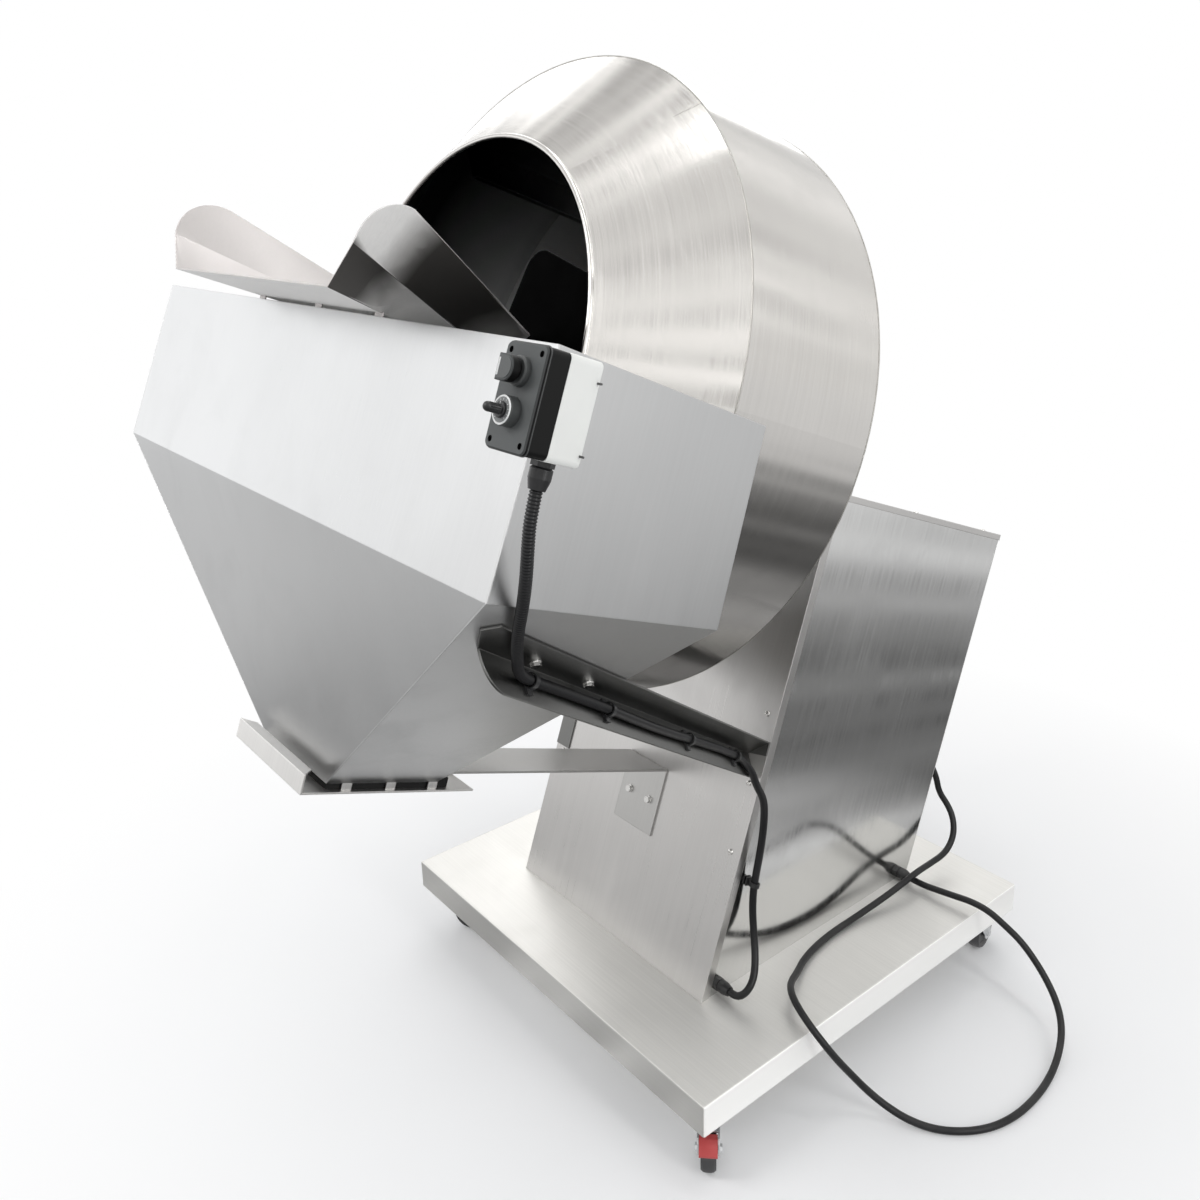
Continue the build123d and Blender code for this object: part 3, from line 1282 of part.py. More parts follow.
# The power cord's route on the base and the floor, in the machine's frame
CORD_ROUTE = [
    (303, 287, 179), (336, 287, 179), (370, 290, 183), (405, 296, 185.5), (443, 302, 189),
    (479, 306, 185), (512, 310, 169), (545, 316, 149), (575, 321, 119), (602, 322, 89),
    (628, 315, 62), (651, 297, 40), (669, 268, 22), (685, 223, 9), (697, 172, 6.8),
    (703, 118, 6.8), (702, 63, 6.8), (690, 11, 6.8), (664, -34, 6.8), (628, -69, 7),
    (588, -92, 13), (554, -111, 31), (529, -131, 58), (511, -152, 91), (497.7, -177, 129),
    (481.5, -192.7, 160), (460.2, -198.4, 180.1), (436.9, -197.3, 193), (412.4, -189.6, 199.4),
    (387.8, -174.8, 199.3), (364.4, -149.2, 191.1), (345, -109, 179), (324, -66, 173.5),
    (312, -13, 172), (307, 43, 172), (308, 98, 173), (311, 150, 178), (316, 198, 186),
    (318, 246, 193), (317, 294, 197), (316.6, 342.1, 196.3), (319.6, 384.8, 201.5),
    (317.1, 412.6, 217.2), (309.7, 430.8, 236.6), (297.9, 441, 257.9), (282.1, 442.5, 280.7),
    (265, 432.7, 307.8), (259.8, 426.3, 348.3), (236.1, 422.9, 384.9), (203, 421, 403),
    (163, 421, 403), (128.5, 424, 383), (108, 431, 349), (101, 443, 309), (97, 457, 264),
    (92, 473, 214), (85, 490, 163), (76, 508, 114), (64, 530, 70), (49, 557, 36), (30, 589, 15),
    (5, 620, 7.5), (-26, 645, 6.8), (-60, 660, 6.8), (-92, 660, 6.8),
]
HOOK_LEVEL = 403.0
COIL_PLACE = (-147, 735)


def cord_coil():
    """The coil's outer shape, with a stub for each end of the cord."""
    x, y = COIL_PLACE
    mean = COIL_DIAMETER / 2
    half = COIL_THICKNESS / 2
    low = CORD_ROUTE[-1][2] - CORD_DIAMETER / 2
    ring = revolve_z([
        (mean - half, low + 5), (mean - half + 5, low), (mean + half - 5, low), (mean + half, low + 5),
        (mean + half, low + 2 * half - 5), (mean + half - 5, low + 2 * half),
        (mean - half + 5, low + 2 * half), (mean - half, low + 2 * half - 5),
    ])
    level = CORD_ROUTE[-1][2]
    coil = Pos(x, y, 0) * ring
    coil += rod_x(x, CORD_ROUTE[-1][0], y - mean, level, CORD_DIAMETER)
    return coil + rod_y(y, y + COIL_TAIL, x - mean, level, CORD_DIAMETER)


def cord_plug():
    """The plug with its tapered relief and three pins, lying behind the coil."""
    x, y = COIL_PLACE
    radius = CORD_DIAMETER / 2
    relief = revolve_z([(0, 0), (radius + 1, 0), (radius + 4, RELIEF_LENGTH), (0, RELIEF_LENGTH)])
    body = revolve_z([
        (0, 0), (radius + 5, 0), (radius + 11, 12), (radius + 13, PLUG_LENGTH - 4),
        (radius + 11, PLUG_LENGTH), (0, PLUG_LENGTH),
    ])
    body &= box(-40, 40, -radius - 0.2, 60, -1, PLUG_LENGTH + 1)
    for px, py in ((-8, 0), (8, 0), (0, 12)):
        body += box(px - 3, px + 3, py - 0.9, py + 0.9, PLUG_LENGTH - 1, PLUG_LENGTH + 19)
    level = CORD_ROUTE[-1][2]
    start = Pos(x - COIL_DIAMETER / 2, y + COIL_TAIL, level) * Rot(-90, 0, 0) * Rot(0, 0, 180)
    relief &= box(-40, 40, -radius - 0.2, 60, -1, RELIEF_LENGTH + 1)
    return [start * relief, start * Pos(0, 0, RELIEF_LENGTH) * body]


def build():
    """Writes every node."""
    os.makedirs("parts", exist_ok=True)
    save(base_tray(), "base_tray")
    save(base_frame(), "base_frame")
    plates = []
    for name, x, y, trail in caster_places():
        place = Pos(x, y, 0) * Rot(0, 0, trail)
        braked = name in ("fl", "fr")
        plates.append(Pos(x, y, 0) * caster_plate())
        save(solids_of(*[place * piece for piece in caster_fork(braked)]), "caster_fork_" + name)
        save(place * caster_wheel(), "caster_wheel_" + name)
        if braked:
            save(place * caster_pedal(), "caster_pedal_" + name)
    save(solids_of(*plates), "caster_plates")

    side = side_panel()
    save(PANEL * front_panel(), "front_panel")
    save(PANEL * side, "side_panel_right")
    save(PANEL * mirrored(side), "side_panel_left")
    save(PANEL * back_cover(), "back_cover")
    save(PANEL * lid(), "lid")
    save(solids_of(*[PANEL * piece for piece in cover_screws()]), "cover_screws")
    save(PANEL * inner_frame(), "inner_frame")

    save(solids_of(*[PANEL * piece for piece in bearing_plates()]), "bearing_plates")
    bearings = bearing(FRONT_BEARING) + bearing(REAR_BEARING)
    save(solids_of(*[PANEL * piece for piece in bearings]), "bearings")
    save(solids_of(*[PANEL * piece for piece in drive_bolts()]), "drive_bolts")
    save(PANEL * gearbox(), "gearbox")
    save(PANEL * motor(), "motor")
    save(PANEL * motor_drive(), "motor_drive")
    save(PANEL * hood(), "drive_hood")
    save(DRUM_FRAME * drive_shaft(), "drive_shaft")

    save(DRUM_FRAME * drum_front_cone(), "drum_front_cone")
    save(DRUM_FRAME * drum_ring(2), "drum_barrel")
    save(DRUM_FRAME * drum_ring(1), "drum_rear_cone")
    save(DRUM_FRAME * drum_back(), "drum_back")
    save(solids_of(*[DRUM_FRAME * piece for piece in drum_flights()]), "drum_flights")
    save(DRUM_FRAME * drum_scoop(), "drum_scoop")
    save(DRUM_FRAME * drum_hub(), "drum_hub")
    save(solids_of(*[DRUM_FRAME * piece for piece in hub_bolts()]), "hub_bolts")

    right, left, front, rear = hopper_sheets()
    save(PANEL * right, "hopper_side_right")
    save(PANEL * left, "hopper_side_left")
    save(PANEL * front, "hopper_front")
    save(PANEL * rear, "hopper_rear")
    save(PANEL * outlet_plate(), "outlet_plate")
    save(PANEL * centre_strap(), "centre_strap")
    arm = support_arm()
    save(PANEL * arm, "support_arm_right")
    save(PANEL * arm_with_foot(), "support_arm_left")
    save(solids_of(*[PANEL * piece for piece in support_bolts()]), "support_bolts")
    save(PANEL * chute(), "chute")

    save(PANEL * station_bracket(), "station_bracket")
    save(PANEL * station_housing(), "station_housing")
    save(PANEL * station_cover(), "station_cover")
    save(solids_of(*[PANEL * piece for piece in station_collars()]), "station_collars")
    save(PANEL * push_button(), "push_button")
    save(PANEL * speed_knob(), "speed_knob")
    save(solids_of(*[PANEL * piece for piece in conduit_glands()]), "conduit_glands")
    cord_gland = Pos(*CORD_GLAND) * Rot(0, 90, 0) * gland(GLAND_DIAMETER, CORD_DIAMETER)
    save(cord_gland, "cord_gland")
    save(PANEL * cord_tube(conduit_route(), CONDUIT_DIAMETER, "conduit"), "conduit")
    save(solids_of(*[PANEL * piece for piece in conduit_clips()]), "conduit_clips")
    save(cord_tube(CORD_ROUTE, CORD_DIAMETER, "cord"), "power_cord")
    save(cord_hook(), "cord_hook")
    save(cord_coil(), "cord_coil")
    save(solids_of(*cord_plug()), "cord_plug")


build()
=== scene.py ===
"""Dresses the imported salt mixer: its stage, its cords, its small fittings and its finishes."""

import json
from functools import partial
from math import cos, pi, radians, sin

import bpy
from mathutils import Matrix, Vector


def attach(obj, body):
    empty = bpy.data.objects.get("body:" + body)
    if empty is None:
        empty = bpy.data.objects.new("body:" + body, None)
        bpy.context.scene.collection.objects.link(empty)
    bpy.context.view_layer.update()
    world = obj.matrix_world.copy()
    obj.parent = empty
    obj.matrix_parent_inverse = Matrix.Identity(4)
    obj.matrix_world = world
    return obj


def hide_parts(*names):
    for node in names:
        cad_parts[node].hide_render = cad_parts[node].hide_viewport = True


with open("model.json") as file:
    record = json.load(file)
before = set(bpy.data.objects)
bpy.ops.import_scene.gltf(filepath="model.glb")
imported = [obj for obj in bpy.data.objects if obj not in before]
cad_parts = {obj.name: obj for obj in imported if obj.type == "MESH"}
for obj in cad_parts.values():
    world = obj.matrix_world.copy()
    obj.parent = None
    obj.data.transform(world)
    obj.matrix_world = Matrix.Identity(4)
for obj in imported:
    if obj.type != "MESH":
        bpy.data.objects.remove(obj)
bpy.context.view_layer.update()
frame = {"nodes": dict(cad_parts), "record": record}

bl_info = {
    "name": "Salt mixer dressing",
    "version": (1, 0, 0),
    "blender": (4, 5, 0),
    "location": "3D View > Sidebar > Salt mixer",
    "description": "Finishes, cords and small fittings of a tumbling salt mixer",
    "category": "Object",
}

LEAN = radians(20.5)
# The leaning cabinet's frame: x to the right, y up the front panel, z out of it.
PANEL = Matrix.Translation((0, -0.288, 0.165)) @ Matrix.Rotation(radians(90) - LEAN, 4, "X")
# Lays brush marks up the leaning sheets.
PANEL_TURN = (LEAN - radians(90), 0.0, radians(90))
# The drum's frame: z out of the mouth along the axis.
DRUM = PANEL @ Matrix.Translation((0, 1.021, 0))
DRUM_AXIS = (0.0, -cos(LEAN), sin(LEAN))
DRUM_SEAM = 54.6
MOUTH_RADIUS = 0.332
DRUM_RADIUS = 0.502
MOUTH_REACH = 0.668
FRONT_SEAM = 0.543
REAR_SEAM = 0.261
BACK_REACH = 0.136
SHEET = 0.0017
STATION_X = 0.622
STATION_Y = 0.960
STATION_FACE = 0.967
COLLAR_TOP = STATION_FACE + 0.012
BUTTON_Y = 0.98438
BUTTON_FACE = STATION_FACE + 0.0203
KNOB_Y = 0.94516
WELL_PLACES = [(x, y) for x in (0.597, 0.647) for y in (0.916, 1.004)]
WELL_FLOOR = STATION_FACE - 0.0052
LIP_FOOT = STATION_FACE - 0.0049
LIP_WIDTH, LIP_HEIGHT, LIP_THICKNESS, LIP_CORNER = 0.0690, 0.1070, 0.0014, 0.0076
LUG_LEVELS = (0.920, 0.992)
SCREW_SIDE = 0.251
SCREW_LEVEL, SCREW_STEP = 0.279, 0.131
# The right arm's slope, and the second clip's place along, above and out of it.
ARM_SLOPE = radians(22.56)
RIB_CLIP = (0.613, 0.0, 0.025)
PLAIN_STEP = 0.006
# Where the plug's underside lies on the floor, below its middle.
PLUG_CUT = -0.0066
# The hopper's slanted side runs along this direction, seen up the panel.
FACET_X, FACET_Y = 0.7708, 0.6371
MARK_PLACES = ((0.372, 0.580, 0.767), (0.357, 0.568, 0.644), (0.236, 0.468, 0.690))
CORNER_RADIUS = 0.060
CORNER_MIDDLE = (0, 1.0896, 0.945)
CORNER_SLOPE = 0.32
# The photograph's camera: its place, its turn from the front to the right, its rise and its roll.
CAMERA_PLACE = (1.482, -1.440, 1.597)
CAMERA_TURN, CAMERA_RISE, CAMERA_ROLL = 51.687, 17.0774, -1.79


def metres(points):
    """Points given in millimetres."""
    return [tuple(number / 1000 for number in point) for point in points]


# The power cord from the cabinet's gland to the coil, in the machine's frame.
CORD_LINE = metres([
    (303, 287, 179), (336, 287, 179), (370, 290, 183), (405, 296, 185.5), (443, 302, 189), (479, 306, 185),
    (512, 310, 169), (545, 316, 149), (575, 321, 119), (602, 322, 89), (628, 315, 62), (651, 297, 40),
    (669, 268, 22), (685, 223, 9), (697, 172, 6.8), (703, 118, 6.8), (702, 63, 6.8), (690, 11, 6.8),
    (664, -34, 6.8), (628, -69, 7), (588, -92, 13), (554, -111, 31), (529, -131, 58), (511, -152, 91),
    (497.7, -177, 129), (481.5, -192.7, 160), (460.2, -198.4, 180.1), (436.9, -197.3, 193),
    (412.4, -189.6, 199.4), (387.8, -174.8, 199.3), (364.4, -149.2, 191.1), (345, -109, 179),
    (324, -66, 173.5), (312, -13, 172), (307, 43, 172), (308, 98, 173), (311, 150, 178), (316, 198, 186),
    (318, 246, 193), (317, 294, 197), (316.6, 342.1, 196.3), (319.6, 384.8, 201.5), (317.1, 412.6, 217.2),
    (309.7, 430.8, 236.6), (297.9, 441, 257.9), (282.1, 442.5, 280.7), (265, 432.7, 307.8),
    (259.8, 426.3, 348.3), (236.1, 422.9, 384.9), (203, 421, 403), (163, 421, 403), (128.5, 424, 383),
    (108, 431, 349), (101, 443, 309), (97, 457, 264), (92, 473, 214), (85, 490, 163), (76, 508, 114),
    (64, 530, 70), (49, 557, 36), (30, 589, 15), (5, 620, 7.5), (-26, 645, 6.8), (-60, 660, 6.8),
    (-92, 660, 6.8), (-120, 660, 6.8),
])
COIL_MIDDLE = (-0.147, 0.735)
COIL_STEPS = 16
# Turn angle from the coil's start, radius of the turn and height, at the changes of the winding.
COIL_SHAPE = [
    (0, 0.075, 0.0068), (60, 0.068, 0.0068), (290, 0.068, 0.0068), (360, 0.0685, 0.0185),
    (400, 0.069, 0.0198), (600, 0.070, 0.0198), (700, 0.079, 0.0200), (740, 0.0815, 0.0185),
    (775, 0.083, 0.0120), (805, 0.082, 0.0068), (810, 0.082, 0.0068),
]
CORD_TAIL = [(-0.2285, 0.757, 0.0068), (-0.2235, 0.777, 0.0068), (-0.222, 0.797, 0.0068)]

# The conduit: down from the station, along the right arm, and down the side panel. The first and
# last points are in the cabinet's frame; an arm point is along, above and out of the arm.
CONDUIT_DROP = metres([
    (622, 877.5, 916), (622.5, 849, 915.5), (619.5, 819, 907), (612, 788, 894), (600, 758, 880),
    (582, 730, 864), (560, 705, 843), (532, 681, 815),
])
CONDUIT_ARM = metres([
    (855, 1, 26), (796, 1, 25), (715, 0, 24), (613, 1, 25), (500, 0, 27), (400, 1, 27), (323, 1, 25),
    (250, 0, 23), (185, 1, 22), (130, 0, 22.5), (88, 1, 25), (58, 0, 33), (36, 1, 47.5), (21, -3, 65.5),
])
CONDUIT_FOOT = metres([
    (291, 396, -2), (295.5, 366, -10), (296, 330, -19), (294, 292, -28), (291, 256, -36), (290, 220, -43),
    (292.5, 189, -50), (297, 162, -57), (303, 138, -62), (311, 116, -64.5), (320, 96.5, -62.5),
    (328.5, 79.5, -57.5), (333.8, 65.3, -50.5), (334.5, 52.5, -43.5), (330.5, 42.3, -38.5),
    (323, 35.3, -36), (313, 33, -35), (303, 33, -35),
])


# Sizes and colours

def colour(label, text, value):
    """A colour property."""
    return bpy.props.FloatVectorProperty(
        name=label, description=text, default=value, subtype="COLOR", size=3, min=0.0, max=1.0)


def number(label, text, value, **kind):
    """A number property."""
    return bpy.props.FloatProperty(name=label, description=text, default=value, min=0.0, **kind)


length = partial(number, unit="LENGTH")
power = partial(number, unit="POWER")
factor = partial(number, subtype="FACTOR", max=1.0)


class MixerSteelSettings(bpy.types.PropertyGroup):
    """The colours and the polish of the steel sheets."""

    drum: colour("Drum", "Brushed sheet of the drum's outside", (0.60, 0.585, 0.565))
    # The drum's inside colours are painted: shade on the inside sheet, and light deep in and on the back
    # sheet.
    drum_inside: colour("Drum inside", "Shaded sheet of the drum's inside", (0.03, 0.031, 0.031))
    drum_glow: colour("Drum glow", "Lit sheet deep inside the drum", (0.90, 0.91, 0.91))
    drum_polish: factor("Drum roughness", "Roughness of the drum's outside", 0.17)
    hopper: colour("Hopper", "Sheets of the catch hopper", (0.55, 0.553, 0.555))
    cabinet: colour("Cabinet", "Front panel and lid", (0.58, 0.57, 0.56))
    side: colour("Cabinet side", "Polished side panels", (0.67, 0.67, 0.665))
    side_polish: factor("Side roughness", "Roughness of the side panels", 0.13)
    deck: colour("Base", "Top and edges of the base", (0.76, 0.75, 0.722))
    arm: colour("Arms", "Support arms and strap", (0.20, 0.20, 0.195))
    chute: colour("Chute", "Feed chute", (0.47, 0.45, 0.443))


class MixerCordSettings(bpy.types.PropertyGroup):
    """The sizes and the colour of the cords."""

    cord: length("Cord", "Diameter of the power cord", 0.013)
    conduit: length("Conduit", "Diameter of the conduit", 0.014)
    rib_pitch: length("Rib pitch", "Distance between the conduit's ribs", 0.0036)
    rib_depth: length("Rib depth", "Depth of the conduit's grooves", 0.0009)
    jacket: colour("Jacket", "Colour of the cords", (0.010, 0.010, 0.011))


class MixerFittingSettings(bpy.types.PropertyGroup):
    """The sizes and colours of the screws and of the control station's details."""

    screw: length("Screw head", "Radius of a cover screw's head", 0.0056)
    weld: length("Weld bead", "Thickness of the drum's weld beads", 0.0015)
    dial: length("Dial", "Radius of the white dial ring", 0.0134)
    housing: colour("Housing", "Light half of the control station", (0.78, 0.785, 0.76))
    cover: colour("Cover", "Dark cover of the control station", (0.10, 0.105, 0.105))
    mark: colour("Marks", "Dial ring and marks", (0.85, 0.85, 0.84))
    pedal: colour("Pedal", "Brake pedals of the casters", (0.50, 0.06, 0.06))


class MixerStageSettings(bpy.types.PropertyGroup):
    """The floor and the lamps."""

    floor: colour("Floor", "Pale studio floor", (0.80, 0.80, 0.805))
    key: power("Key", "Power of the front lamp", 60.0)
    left: power("Left", "Power of the wide lamp on the left", 16.0)
    back: power("Back", "Power of the wide lamp behind on the left", 30.0)
    fill: power("Fill", "Power of the narrow lamp on the right", 30.0)
    top: power("Top", "Power of each overhead lamp", 9.0)


# Working in edit mode

def clear_picks():
    """Leaves edit mode and deselects every object."""
    if bpy.context.object and bpy.context.object.mode != "OBJECT":
        bpy.ops.object.mode_set(mode="OBJECT")
    bpy.ops.object.select_all(action="DESELECT")


def start(kind, **sizes):
    """Adds a primitive, applies its place to it and returns it."""
    clear_picks()
    getattr(bpy.ops.mesh, "primitive_" + kind + "_add")(**sizes)
    bpy.ops.object.transform_apply()
    return bpy.context.object


def block(place, sides, bevel=0.0, segments=2):
    """A box round a place, with its edges rounded when a bevel is given."""
    piece = start("cube", size=1.0, location=place, scale=sides)
    if bevel:
        modify(piece, "BEVEL", width=bevel, segments=segments)
    return piece


def take(*pieces):
    """Selects pieces, the first one active."""
    clear_picks()
    for piece in pieces:
        piece.select_set(True)
    bpy.context.view_layer.objects.active = pieces[0]
    return pieces[0]


def edit_faces(piece, test=lambda face: True):
    """Enters edit mode with the faces that pass the test selected, or all of them."""
    take(piece)
    mesh = piece.data
    mesh.vertices.foreach_set("select", [False] * len(mesh.vertices))
    mesh.edges.foreach_set("select", [False] * len(mesh.edges))
    mesh.polygons.foreach_set("select", [bool(test(face)) for face in mesh.polygons])
    bpy.ops.object.mode_set(mode="EDIT")
    bpy.ops.mesh.select_mode(type="FACE")


def end_edit():
    """Merges doubles, turns faces outwards and leaves edit mode."""
    bpy.ops.mesh.select_all(action="SELECT")
    bpy.ops.mesh.remove_doubles(threshold=1e-6)
    bpy.ops.mesh.normals_make_consistent(inside=False)
    bpy.ops.object.mode_set(mode="OBJECT")


def modify(piece, kind, **values):
    """Adds a modifier and applies it."""
    take(piece)
    modifier = piece.modifiers.new(kind.title(), kind)
    for key, value in values.items():
        setattr(modifier, key, value)
    bpy.ops.object.modifier_apply(modifier=modifier.name)


def combine(piece, other, operation):
    """Cuts another piece from this one, or melts it in, and removes it."""
    modify(piece, "BOOLEAN", object=other, operation=operation, solver="EXACT")
    bpy.data.objects.remove(other)
    return piece


def twin(piece, place):
    """A copy with its own mesh at a place."""
    copy = piece.copy()
    copy.data = piece.data.copy()
    bpy.context.scene.collection.objects.link(copy)
    copy.matrix_world = place @ piece.matrix_world
    return copy


def joined(pieces):
    """Joins pieces into the first one."""
    bpy.context.view_layer.update()
    take(*pieces)
    if len(pieces) > 1:
        bpy.ops.object.join()
    return pieces[0]


def turned(profile, segments):
    """A round piece on the z axis, drawn up ring by ring from (radius, height) pairs."""
    radius, level = profile[0]
    piece = start("circle", vertices=segments, radius=radius, fill_type="NGON", location=(0, 0, level))
    edit_faces(piece)
    for after, height in profile[1:]:
        rise = {"value": (0, 0, height - level)}
        bpy.ops.mesh.extrude_region_move(TRANSFORM_OT_translate=rise)
        grow = after / radius
        bpy.ops.transform.resize(value=(grow, grow, 1), center_override=(0, 0, height))
        radius, level = after, height
    end_edit()
    return piece


def on_panel(x, y, z=0.0):
    """A place in the leaning cabinet's frame."""
    return PANEL @ Matrix.Translation((x, y, z))


def settle(piece, name, body, material, place=Matrix.Identity(4), angle=35.0):
    """Puts a finished piece in its place, applies it and hands it to its body."""
    take(piece)
    piece.matrix_world = place @ piece.matrix_world
    bpy.context.view_layer.update()
    bpy.ops.object.transform_apply()
    bpy.ops.object.shade_smooth_by_angle(angle=radians(angle))
    piece.name = name
    piece.data.name = name
    piece.data.materials.clear()
    piece.data.materials.append(material)
    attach(piece, body)
    return piece


# Node groups and finishes

class Value:
    """A node's result; arithmetic on it adds math nodes to its tree."""

    def __init__(self, socket):
        self.socket, self.tree = socket, socket.id_data

    def math(self, operation, *others, clamp=False):
        """A math node's result, with this value first."""
        inputs = dict(enumerate((self, *others)))
        return add(self.tree, "Math", inputs, operation=operation, use_clamp=clamp)[0]

    def __add__(self, other):
        return self.math("ADD", other)

    def __sub__(self, other):
        return self.math("SUBTRACT", other)

    def __rsub__(self, other):
        return add(self.tree, "Math", {0: other, 1: self}, operation="SUBTRACT")[0]

    def __mul__(self, other):
        return self.math("MULTIPLY", other)

    def __lt__(self, other):
        return self.math("LESS_THAN", other)

    def __gt__(self, other):
        return self.math("GREATER_THAN", other)


class Results:
    """A node's results, by name or by number."""

    def __init__(self, node):
        self.node = node

    def __getitem__(self, key):
        return Value(self.node.outputs[key])


def plug(socket, value):
    """Links a value to an input, or fills the input with a constant."""
    if isinstance(value, Value):
        value.tree.links.new(value.socket, socket)
    else:
        socket.default_value = value


def add(tree, kind, inputs=None, **settings):
    """Adds a node, sets it and fills or links its inputs."""
    node = tree.nodes.new("ShaderNode" + kind)
    for key, value in settings.items():
        setattr(node, key, value)
    for key, value in (inputs or {}).items():
        plug(node.inputs[key], value)
    return Results(node)


def ramp(value, low, high, bottom=0.0, top=1.0):
    """A value's range stretched to another range, held inside it."""
    return add(value.tree, "MapRange", {
        "Value": value, "From Min": low, "From Max": high, "To Min": bottom, "To Max": top})["Result"]


def blended(share, first, second):
    """A mix of two colours."""
    return add(share.tree, "Mix", {0: share, 6: first, 7: second}, data_type="RGBA")[2]


def noise(vector, scale, detail, roughness=0.5, distortion=0.0):
    """A noise texture's value."""
    return add(vector.tree, "TexNoise", {
        "Vector": vector, "Scale": scale, "Detail": detail, "Roughness": roughness,
        "Distortion": distortion})["Fac"]


def vectors(operation, first, second, tree=None):
    """A vector math node's results."""
    key = "Scale" if operation == "SCALE" else 1
    return add(tree or second.tree, "VectorMath", {0: first, key: second}, operation=operation)


def apart(vector):
    """A vector's X, Y and Z."""
    return add(vector.tree, "SeparateXYZ", {0: vector})


def once(library, name):
    """Keeps what a builder makes in Blender's data, and builds it the first time only."""
    return lambda build: lambda: getattr(bpy.data, library).get(name) or build(name)


def new_group(name, inputs, outputs):
    """An empty node group, its inputs' values and its outputs' sockets."""
    tree = bpy.data.node_groups.new(name, "ShaderNodeTree")
    for label, kind, value in inputs:
        socket = tree.interface.new_socket(name=label, in_out="INPUT", socket_type="NodeSocket" + kind)
        if value is not None:
            socket.default_value = value
    for label, kind in outputs:
        tree.interface.new_socket(name=label, in_out="OUTPUT", socket_type="NodeSocket" + kind)
    return tree, Results(tree.nodes.new("NodeGroupInput")), tree.nodes.new("NodeGroupOutput").inputs


def new_skin(name, tint, roughness, floats):
    """An empty group for a surface: what a material gives it and what the shader takes."""
    given = [("Vector", "Vector", None), ("Tint", "Color", (tint, tint, tint, 1)),
             ("Roughness", "Float", roughness)]
    given += [(label, "Float", value) for label, value in floats.items()]
    return new_group(name, given, [
        ("Color", "Color"), ("Roughness", "Float"), ("Height", "Float"), ("Normal", "Vector")])


def edge_highlight(tree, given, flat, bent):
    """The softened normal at the edges, the painted highlight that brightens the edges, and the face's own
    normal.
    """
    soft = add(tree, "Bevel", {"Radius": given["Edge radius"]}, samples=4)[0]
    own = add(tree, "NewGeometry")["Normal"]
    bend = vectors("DOT_PRODUCT", soft, own)["Value"]
    return soft, ramp(bend, flat, bent) * given["Edge light"], own


@once("node_groups", "Sheet skin")
def sheet_skin(name):
    """Brushed steel sheet: brush marks, cloudy handling, fine scratches, painted highlights along the edges
    and painted shade on faces that look downwards.
    """
    tree, given, result = new_skin(name, 0.6, 0.3, {
        "Along": 3.0, "Across": 300.0, "Grain": 0.1, "Clouds": 0.1, "Scratches": 0.2,
        "Edge radius": 0.0015, "Edge light": 0.3, "Under film": 0.0})
    place = given["Vector"]
    scales = add(tree, "CombineXYZ", {"X": given["Along"], "Y": given["Across"], "Z": given["Across"]})
    brushed = vectors("MULTIPLY", place, scales[0])[0]
    streak = noise(brushed, 1.0, 4.0, 0.62) * 0.65 + noise(brushed, 3.7, 2.0) * 0.35
    streak = ramp(streak, 0.32, 0.68)
    cloud = ramp(noise(place, 2.6, 3.0, 0.55), 0.30, 0.70)
    rubbed = ramp(noise(place, 9.0, 5.0, 0.6, 0.6), 0.48, 0.74)
    slant = add(tree, "Mapping", {"Vector": place, "Rotation": (0.4, 0.3, 0.62), "Scale": (5.0, 330.0, 60.0)})
    lines = ramp(noise(slant[0], 1.0, 1.0), 0.72, 0.80) * rubbed * given["Scratches"]
    normal, edge, _ = edge_highlight(tree, given, 0.995, 0.86)
    tone = (streak - 0.5) * given["Grain"] + (cloud - 0.5) * given["Clouds"] + 1.0
    # The edge term is a painted highlight.
    tone = tone + lines * 0.35 + edge
    down = apart(add(tree, "TexCoord")["Normal"])["Z"]
    # Faces that look downwards are darkened here as painted shade.
    tone = tone * (1.0 - ramp(down, 0.15, -0.65) * given["Under film"])
    plug(result["Color"], vectors("SCALE", given["Tint"], tone)[0])
    rough = (streak - 0.5) * 0.10 + rubbed * 0.07 + (cloud - 0.5) * 0.06
    plug(result["Roughness"], rough.math("ADD", given["Roughness"], clamp=True))
    plug(result["Height"], streak + lines * -0.8)
    plug(result["Normal"], normal)
    return tree


@once("node_groups", "Moulded skin")
def moulded_skin(name):
    """Moulded plastic, rubber and paint: a fine pebble grain, soft patches and painted highlights along the
    edges.
    """
    tree, given, result = new_skin(name, 0.1, 0.5, {
        "Pebble": 900.0, "Patches": 0.2, "Edge radius": 0.0008, "Edge light": 0.4, "Dust": 0.1})
    pebble = add(tree, "TexVoronoi", {"Vector": given["Vector"], "Scale": given["Pebble"]})
    patch = ramp(noise(given["Vector"], 14.0, 4.0, 0.6), 0.3, 0.7)
    normal, edge, own = edge_highlight(tree, given, 0.99, 0.80)
    dust = ramp(apart(own)["Z"], 0.2, 0.95) * given["Dust"] * patch
    # The edge term is a painted highlight.
    tone = (patch - 0.5) * given["Patches"] + 1.0 + edge
    shade = vectors("SCALE", given["Tint"], tone)[0]
    plug(result["Color"], blended(dust, shade, (0.42, 0.41, 0.39, 1)))
    rough = given["Roughness"] + (patch - 0.5) * 0.12
    plug(result["Roughness"], rough.math("ADD", dust * 0.3, clamp=True))
    plug(result["Height"], pebble["Distance"])
    plug(result["Normal"], normal)
    return tree


def blank_material(name):
    """An empty material, its tree and its Principled shader's node."""
    material = bpy.data.materials.new(name)
    material.use_nodes = True
    tree = material.node_tree
    tree.nodes.clear()
    shader = add(tree, "BsdfPrincipled")
    add(tree, "OutputMaterial", {0: shader[0]})
    return material, tree, shader.node


